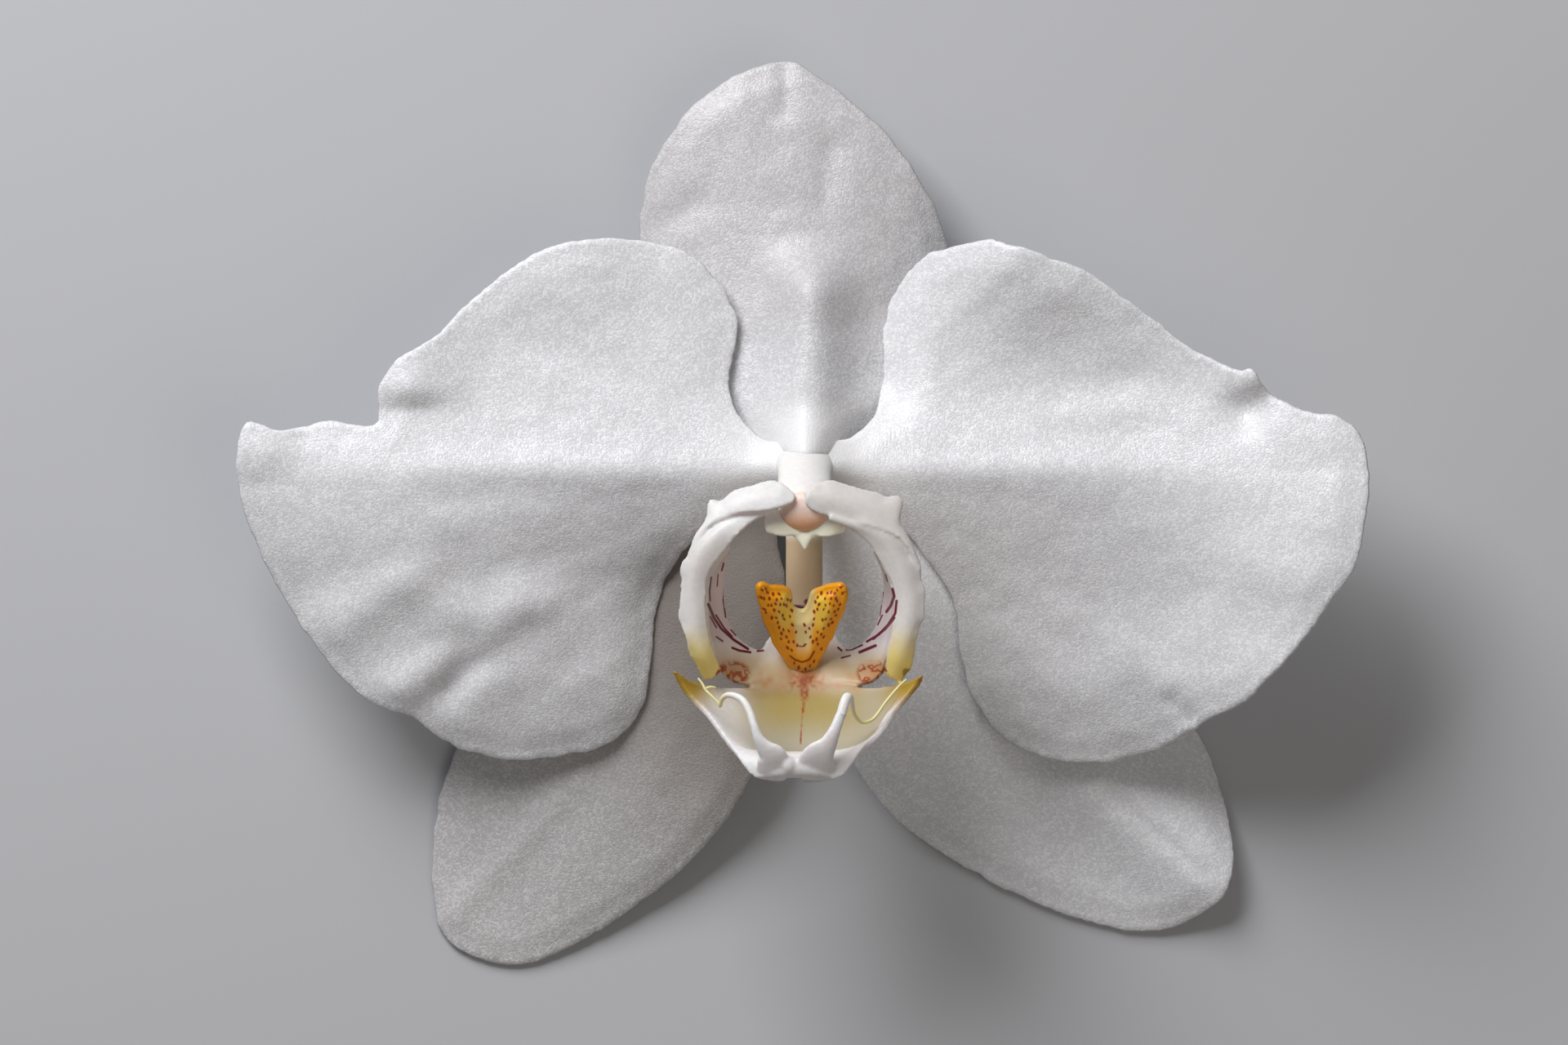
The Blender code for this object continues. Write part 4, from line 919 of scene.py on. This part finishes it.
# %% Pigments where the cup meets the middle lobe
away = y + 19.3 + 0.4 * lumps(x, y, 0.9, 44)
blush = (0.28 + 0.22 * lumps(x, y, 0.5, 45)) * np.exp(-(away / 0.9) ** 2)
blush = blush * (1 - ease(np.abs(x), 3.5, 6.5)) * (z < 9.0)
corner = np.exp(-((np.abs(x + 0.1) - 6.5) / 1.5) ** 2 - ((y + 18.3) / 1.0) ** 2) * (z < 9.5) * cup
floor_glow = 0.95 * np.exp(-(x / 1.7) ** 2 - ((y + 18.7) / 1.1) ** 2) * (z < 8.0)
store_amount(lip, "amber", np.maximum(np.maximum(0.45 * corner, 1.3 * blush), floor_glow))
line = (1 - ease(from_strokes(x, y, RED_LINE), 0.5, 1.6)) * (0.75 + 0.6 * lumps(x, y, 0.24, 43)) * (z < 12.0)
freckles = ease(lumps(x, y, 0.28, 46), 0.12, 0.4)
freckles = freckles * np.exp(-(x / 1.5) ** 2 - ((y + 19.1) / 0.9) ** 2) * (z < 8.0)
line = np.maximum(line, 0.9 * freckles)
store_amount(lip, "rust", np.maximum(rusty_net(x, y) * (z < 9.5), line * ease(-y, 18.4, 18.9)))
_, _, z = flower_places(threads).T
store_amount(threads, "yellow", 0.9 * (1 - ease(z, 13.4, 15.2)))
print("amounts stored on the lip:", [kept.name for kept in lip.data.attributes if kept.data_type == "FLOAT"])

# %% [markdown]
# Waxy lip tissue
#
# The lip is smooth and waxy where the petals are frosted: a denser, clearer tissue with a soft shine. Its
# finish starts with the white of the tissue and lets it vary a little from place to place. A real cell is
# about 0.05 mm wide, and the unevenness is drawn at about 0.45 mm, so that it shows. The pigments and the
# painted shade lie over that.

# %% Finish of the lip
BLOTCHES_PER_MM = 2.2
BLOTCH_DARK = 0.93
WAX_HILL = 0.06
WAX_SCATTER = 1.2


def wax_finish(name, colour, roughness, scatter, pigments=()):
    """Waxy tissue with pigments over it, the last of them on top."""
    finish, tree, shader, place = new_finish(
        name, Roughness=roughness, IOR=1.42, Subsurface_Weight=scatter, Subsurface_Scale=WAX_SCATTER * MM)
    cells = add_node(tree, "ShaderNodeTexNoise", {}, {
        "Vector": place, "Scale": BLOTCHES_PER_MM, "Detail": 2.0})
    share = add_node(tree, "ShaderNodeMapRange", {}, {
        "Value": cells.outputs[0], "From Min": 0.3, "From Max": 0.7})
    darker = tuple(BLOTCH_DARK * c for c in linear(colour)[:3]) + (1.0,)
    uneven = add_node(tree, "ShaderNodeMix", MIX_COLOURS, {
        0: share.outputs[0], 6: darker, 7: linear(colour)})
    shown = lay_pigments_and_shade(tree, uneven, pigments)
    tree.links.new(shown.outputs[2], shader.inputs["Base Color"])
    relief = add_node(tree, "ShaderNodeBump", {}, {
        "Height": cells.outputs[0], "Strength": 0.3, "Distance": WAX_HILL * MM})
    tree.links.new(relief.outputs[0], shader.inputs["Normal"])
    return finish


# In this list clear is painted shade, and the bowl's olive-yellow is its real yellow darkened by painted
# shade.
LIP_PIGMENTS_AND_SHADE = [
    ("lilac", "#dcd2d3"), ("cream", "#c9b793"), ("clear", "#b4ae9a"), ("gold_and_painted_shade", "#a48f40"),
    ("yellow", "#e9d060"), ("olive", "#aa8c32"), ("amber", "#bb742c"), ("rust", "#984512"),
    ("crimson", "#700c30"),
]
THREAD_PIGMENTS = [("yellow", "#efe29a")]
waxy_lip = wax_finish("waxy_lip", "#ebe9e7", roughness=0.38, scatter=0.25, pigments=LIP_PIGMENTS_AND_SHADE)
settle(lip, "lip", waxy_lip, "lip")
waxy_thread = wax_finish("waxy_thread", "#f4f1ea", roughness=0.36, scatter=0.2, pigments=THREAD_PIGMENTS)
settle(threads, "lip", waxy_thread, "lip")
print("the lip's finish has", len(LIP_PIGMENTS_AND_SHADE), "pigments")

# %% [markdown]
# The crest
#
# The crest on the lip is a thick, fleshy butterfly of tissue: two horns with a trough between them. It is
# deep orange at its rim, pale yellow inside the horns and cream in the trough, and freckled with small
# dark red spots, which lengthen along the way that the tissue grew.

# %% Outline, spots and arcs of the crest
CALLUS = [
    (0.0, -18.55), (-0.8, -18.3), (-1.4, -17.6), (-1.95, -16.7), (-2.5, -15.8), (-2.9, -14.8),
    (-3.4, -13.9), (-3.75, -12.6), (-4.05, -11.6), (-4.08, -10.8), (-3.7, -10.55), (-3.1, -10.8),
    (-2.5, -10.85), (-1.75, -11.05), (-1.35, -11.6), (-1.25, -12.3), (-0.55, -12.85), (0.3, -12.65),
    (0.6, -11.9), (0.8, -11.2), (1.7, -10.85), (2.8, -10.57), (3.4, -10.75), (3.57, -11.6),
    (3.3, -12.86), (2.8, -13.96), (2.39, -15.06), (1.7, -16.16), (1.25, -17.1), (0.8, -18.1),
]
SPOTS = [
    (-3.72, -11.06), (-3.98, -11.42), (-3.4, -10.95), (-3.25, -11.27), (-3.57, -11.81),
    (-3.83, -11.7), (-3.08, -11.81), (-2.76, -11.42), (-2.44, -11.91), (-2.23, -11.42),
    (-2.55, -12.27), (-3.19, -12.4), (-2.91, -12.4), (-2.12, -12.34), (-1.8, -12.34),
    (-1.48, -11.91), (-1.59, -12.44), (-2.02, -11.81), (-1.21, -12.02), (-3.4, -13.04),
    (-2.66, -12.83), (-2.23, -12.98), (-3.51, -12.76), (-2.49, -13.51), (-1.91, -13.3),
    (-2.34, -13.94), (-2.87, -13.51), (-2.23, -14.36), (-1.8, -13.62), (-2.02, -14.9),
    (-2.06, -15.39), (-1.85, -14.58), (-1.59, -15.22), (-1.38, -15.64), (-1.48, -16.18),
    (-1.12, -16.39), (3.21, -10.74), (2.89, -11.06), (2.67, -11.34), (3.36, -11.34), (2.35, -11.27),
    (2.03, -11.34), (1.5, -11.34), (1.18, -11.7), (0.97, -12.12), (1.82, -11.81), (2.35, -11.81),
    (2.78, -11.81), (1.29, -12.34), (1.86, -12.4), (2.25, -12.27), (2.89, -12.02), (3.14, -12.34),
    (2.57, -12.44), (2.99, -12.76), (2.67, -12.98), (2.14, -12.98), (1.71, -12.76), (1.14, -12.76),
    (0.86, -12.98), (2.78, -13.3), (2.35, -13.62), (1.86, -13.62), (2.46, -13.94), (2.14, -14.15),
    (1.61, -13.72), (1.71, -14.47), (0.86, -13.62), (1.5, -15.0), (1.71, -15.22), (1.18, -14.79),
    (1.08, -15.43), (1.18, -15.86), (0.76, -15.64), (1.5, -16.28), (-1.27, -13.4), (-1.06, -14.15),
    (-1.38, -14.68), (-0.74, -14.79), (-0.95, -15.64), (-0.63, -15.96), (0.01, -15.96), (-1.12, -12.87),
    (0.12, -14.79), (0.44, -14.47), (0.76, -14.15), (0.54, -15.22), (0.01, -14.15), (-0.5, -17.95),
    (0.1, -18.1), (0.5, -17.8), (-0.9, -17.55), (0.85, -17.4), (-0.2, -18.4), (0.3, -18.5),
    (-0.65, -18.3),
]
SPOT_LENGTH = 0.18
SPOT_WIDTH = 0.11
ARCS = [
    ([(-1.27, -16.9), (-0.84, -17.24), (-0.2, -17.46), (0.44, -17.24), (0.86, -16.5)], 0.08),
    ([(-0.52, -16.03), (-0.14, -16.07), (0.16, -15.86)], 0.06),
]
print("the crest has", len(SPOTS), "spots")


# %% Height of the crest, and where its spots are
def callus_height(x, y):
    """The crest lies on the claw at its foot, and its two horns rise clear of it."""
    z = 4.75 + 0.5 * soft_above(y + 16.6, 0.4) - 0.55 * soft_above(-16.9 - y, 0.3)
    z = z + 0.1 * x ** 2 * ease(y, -17, -12)
    z = z + fold(x, y, (-0.9, -17.2), (-3.0, -11.8), 0.9, 0.35)
    return z + fold(x, y, (0.8, -17.2), (2.7, -11.8), 0.9, 0.35)


def spot_amount(x, y):
    """Each spot is a short dash that points up the horn it lies on."""
    rng = np.random.default_rng(51)
    most = np.zeros(len(x))
    for sx, sy in SPOTS:
        lean = math.atan2(sy + 19.5, sx * 0.9) + rng.uniform(-0.5, 0.5)
        size = rng.uniform(0.8, 1.15)
        u = (x - sx) * math.cos(lean) + (y - sy) * math.sin(lean)
        v = (y - sy) * math.cos(lean) - (x - sx) * math.sin(lean)
        most = np.maximum(most, 1 - ease(np.hypot(u / SPOT_LENGTH, v / SPOT_WIDTH) / size, 0.75, 1.25))
    return np.maximum(most, 1 - ease(from_strokes(x, y, ARCS), 0.6, 1.4))


# %% The crest on the lip
CREST_THICK = 1.5
CREST_MESH = {"edge_step": 0.08, "grid_step": 0.07, "rim_thick": 0.5, "rim_fade": 1.0}
crest = make_piece("callus_crest", *blade_body(CALLUS, callus_height, CREST_THICK, seed=31, **CREST_MESH))
x, y, _ = flower_places(crest).T
store_amount(crest, "spots", spot_amount(x, y))
store_amount(crest, "fade", 0.9 * ease(-y, 17.3, 18.5))
trough_width = 0.55 + 0.28 * ease(y, -16.5, -13.0)
trough = 1 - ease(np.abs(x + 0.05) / trough_width, 0.7, 1.5)
store_amount(crest, "trough", trough * ease(y, -17.3, -15.6))
from_horn = np.hypot((np.abs(x + 0.1) - 1.5) / 0.9, (y + 12.9) / 1.7)
store_amount(crest, "inner", 1 - ease(from_horn, 0.6, 1.3))
CREST_PIGMENTS = [("inner", "#eec648"), ("trough", "#e2cb8c"), ("fade", "#cda15f"), ("spots", "#942606")]
waxy_callus = wax_finish("waxy_callus", "#f0a212", roughness=0.3, scatter=0.2, pigments=CREST_PIGMENTS)
settle(crest, "callus", waxy_callus, "callus")

# %% [markdown]
# The column
#
# The column is the ivory post in the middle of the flower. It leans out over the lip, carries the peach
# anther cap between two cream wings and a pointed beak, and its tan foot runs down to the lip's claw,
# where two purple spots mark the joint.

# %% Lines of the column, its foot, its wings and its beak
COLUMN = [
    (0.0, 0.2, -2.7, 2.6, 1.8), (0.0, 0.1, -0.6, 2.75, 1.8), (0.0, 0.0, 0.3, 2.65, 1.75),
    (0.0, -0.2, 1.0, 2.5, 1.65), (0.0, -0.9, 3.0, 2.35, 1.6), (0.0, -2.1, 6.0, 2.4, 1.7),
    (0.0, -3.2, 7.5, 2.6, 1.8), (0.0, -3.8, 8.3, 2.3, 1.6), (0.0, -4.25, 9.2, 1.95, 1.35),
]
FOOT = [
    (0.0, -0.4, 0.2, 1.8, 1.1), (0.0, -3.0, 0.6, 1.7, 0.9), (0.0, -7.0, 1.0, 1.65, 0.8),
    (0.0, -10.5, 1.5, 1.65, 0.7), (0.0, -12.9, 2.0, 1.5, 0.65),
]
WINGS = [
    [[(-0.5, -3.9, 9.6), (-2.0, -4.0, 9.6), (-3.4, -4.2, 9.5)],
     [(-0.5, -5.0, 9.6), (-2.1, -5.1, 9.7), (-3.5, -5.1, 9.6)],
     [(-0.5, -6.2, 9.7), (-2.0, -6.3, 9.8), (-3.4, -5.95, 9.7)]],
    [[(0.5, -3.9, 9.6), (2.0, -4.1, 9.6), (3.4, -4.5, 9.5)],
     [(0.5, -5.0, 9.6), (2.1, -5.2, 9.7), (3.6, -5.4, 9.6)],
     [(0.5, -6.2, 9.7), (2.0, -6.35, 9.8), (3.5, -5.95, 9.7)]],
]
BEAK = [
    (0.0, -5.2, 8.8, 1.5, 0.5), (0.0, -6.1, 9.5, 1.2, 0.35), (0.0, -6.7, 9.7, 0.6, 0.28),
    (0.05, -7.5, 9.7, 0.12, 0.18),
]
FOOT_SPOTS = [([(-0.8, -12.65), (-0.05, -12.75)], 0.26), ([(0.25, -12.15), (0.6, -12.1)], 0.28)]
print("sections of the column:", len(COLUMN))

# %% The column in one skin
COLUMN_VOXEL = 0.13
column_bodies = [
    stem_body(COLUMN, steps=60, sides=40),
    stem_body(FOOT, steps=40, sides=24),
    stem_body(BEAK, steps=20, sides=16),
]
column_bodies += [sheet_body(wing, along=24, across=24, thick=0.7, rim=0.5) for wing in WINGS]
column = grow_together("column_skin", column_bodies, voxel=COLUMN_VOXEL, rounds=3)
x, y, z = flower_places(column).T
store_amount(column, "tan", ease(-y, 5.6, 7.0) * (z < 6.0))
store_amount(column, "butter", ease(-y, 4.6, 5.6) * (z > 6.5))
store_amount(column, "crimson", (1 - ease(from_strokes(x, y, FOOT_SPOTS), 0.7, 1.3)) * (y < -11.0))
COLUMN_PIGMENTS = [("tan", "#bfa988"), ("butter", "#fbf6de"), ("crimson", "#5a1c3c")]
waxy_column = wax_finish("waxy_column", "#f0ede8", roughness=0.42, scatter=0.2, pigments=COLUMN_PIGMENTS)
settle(column, "column", waxy_column, "column")

# %% [markdown]
# The stalk
#
# The stalk carries the flower and, next to it, holds the ovary. It is round, fresh green and paler near the
# flower, with three shallow grooves. The photo doesn't show it. It bends back and then runs level, so that
# its cut end can lie on the board. A swept stem follows that bend, and the grooves are painted on as darker
# green painted shade, because they are too shallow to be seen as relief from here.

# %% The stalk
PEDICEL = [
    (0.0, 0.3, -3.0, 2.0, 2.0), (0.0, 0.5, -5.4, 1.9, 1.9), (0.1, 3.0, -8.9, 2.0, 2.0),
    (0.3, 7.6, -10.9, 2.0, 2.0), (0.5, 13.0, -11.4, 1.75, 1.75), (0.6, 20.0, -11.5, 1.55, 1.55),
    (0.5, 27.0, -11.6, 1.5, 1.5), (0.4, 31.0, -11.7, 1.6, 1.6),
]
stalk_verts, stalk_faces = stem_body(PEDICEL, steps=90, sides=28)
stalk_verts[:, 2] = np.maximum(stalk_verts[:, 2], SURFACE)
stalk = make_piece("pedicel_stem", stalk_verts, stalk_faces)
x, y, z = flower_places(stalk).T
store_amount(stalk, "pale", 1 - ease(np.hypot(y, z + 3.0), 3.0, 16.0))
# Painted shade: the three grooves are a darker green.
store_amount(stalk, "groove", 0.5 * ease(np.cos(3 * np.arctan2(z + 11.2, x - 0.5)), 0.7, 1.0) * ease(y, 4.0, 9.0))
STALK_PIGMENTS_AND_SHADE = [("pale", "#e9ead6"), ("groove", "#93a564")]
stalk_green = wax_finish("stalk_green", "#b9c98a", roughness=0.4, scatter=0.2, pigments=STALK_PIGMENTS_AND_SHADE)
settle(stalk, "pedicel", stalk_green, "pedicel")

# %% [markdown]
# The anther cap
#
# The anther cap is a small peach lid, clear and warm at its lower rim, where it is thinnest. It sits on
# the tip of the column between the wings, as a dome that is a little wider than it is long. It is swept
# like a very short stem whose sections close over its top.

# %% The anther cap
CAP_BASE = np.array([0.0, -4.05, 9.8])
CAP_LEAN = math.radians(10)
CAP_DOME = [
    (0.0, 2.05, 1.7), (0.3, 2.12, 1.76), (0.6, 1.95, 1.62), (0.9, 1.5, 1.25), (1.08, 0.85, 0.7),
    (1.14, 0.1, 0.1),
]
axis = np.array([0.0, -math.sin(CAP_LEAN), math.cos(CAP_LEAN)])
cap_line = [(*(CAP_BASE + up * axis), wide, deep) for up, wide, deep in CAP_DOME]
cap = make_piece("anther_cap_lid", *stem_body(cap_line, steps=40, sides=48))
_, y, _ = flower_places(cap).T
store_amount(cap, "peach", 0.25 + 0.75 * ease(-y, 3.6, 5.7))
CAP_PIGMENTS = [("peach", "#f3b284")]
waxy_anther = wax_finish("waxy_anther", "#f6ebe4", roughness=0.35, scatter=0.3, pigments=CAP_PIGMENTS)
settle(cap, "anther", waxy_anther, "anther_cap")

# %% [markdown]
# The pollen
#
# Under the cap sit two waxy yellow masses of pollen. The cap hides them, so they keep the shape of their
# solid and only get a finish.

# %% The pollen under the cap
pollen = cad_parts["pollinia"]
pollen.data.materials.clear()
pollen.data.materials.append(wax_finish("waxy_pollen", "#e8b030", roughness=0.35, scatter=0.2))
print("finish of the pollen:", pollen.data.materials[0].name)

# %% [markdown]
# Board, camera and light
#
# The flower lies on a matt pale board. The camera looks straight down from 1 m away, so that the near
# parts look hardly larger than the far ones. One broad light from the upper left gives the folds their
# shade, a weak warm one from the lower right lifts the shadows, and a faint even sky does the rest.

# %% Board
BOARD_HALF = 0.6
BOARD_GREY = "#c2c3c5"
CORNERS = [(-1, -1), (1, -1), (1, 1), (-1, 1)]
board = bpy.data.meshes.new("board")
board.from_pydata([(x * BOARD_HALF, y * BOARD_HALF, 0) for x, y in CORNERS], [], [(0, 1, 2, 3)])
board.materials.append(new_finish("matt_board", Roughness=0.9, Base_Color=linear(BOARD_GREY))[0])
floor = bpy.data.objects.new("board", board)
bpy.context.collection.objects.link(floor)
print("side of the board in m:", 2 * BOARD_HALF)

# %% Camera
PICTURE_MIDDLE = (-1.8, -5.1, 0.0)
CAMERA_AWAY = 1.0
FRAME_WIDTH = 139.5 * MM
SENSOR = 36.0
camera = bpy.data.objects.new("camera", bpy.data.cameras.new("camera"))
camera.data.sensor_width = SENSOR
camera.data.lens = SENSOR * CAMERA_AWAY / FRAME_WIDTH
aim = to_frame(PICTURE_MIDDLE)
camera.location = (aim[0], aim[1], aim[2] + CAMERA_AWAY)
bpy.context.collection.objects.link(camera)
bpy.context.scene.camera = camera
print("lens in mm:", round(camera.data.lens, 1))

# %% Light
LIGHT_AIM = Vector((0, 0, 0.01))
SKY_COLOUR = "#e8e8ea"
SKY_STRENGTH = 0.13


def soft_light(name, place, width, power, colour):
    """A square lamp that points at the middle of the frame."""
    lamp = bpy.data.lights.new(name, "AREA")
    lamp.size, lamp.energy, lamp.color = width, power, linear(colour)[:3]
    light = bpy.data.objects.new(name, lamp)
    light.location = place
    light.rotation_euler = (LIGHT_AIM - Vector(place)).to_track_quat("-Z", "Y").to_euler()
    bpy.context.collection.objects.link(light)


soft_light("key", place=(-0.205, 0.355, 0.31), width=0.30, power=2.85, colour="#fbfbff")
soft_light("fill", place=(0.25, -0.20, 0.45), width=0.40, power=0.42, colour="#fff6ec")
world = bpy.data.worlds.new("studio")
world.use_nodes = True
sky = world.node_tree.nodes["Background"]
sky.inputs["Color"].default_value = linear(SKY_COLOUR)
sky.inputs["Strength"].default_value = SKY_STRENGTH
bpy.context.scene.world = world
bpy.context.scene.view_settings.view_transform = "Standard"
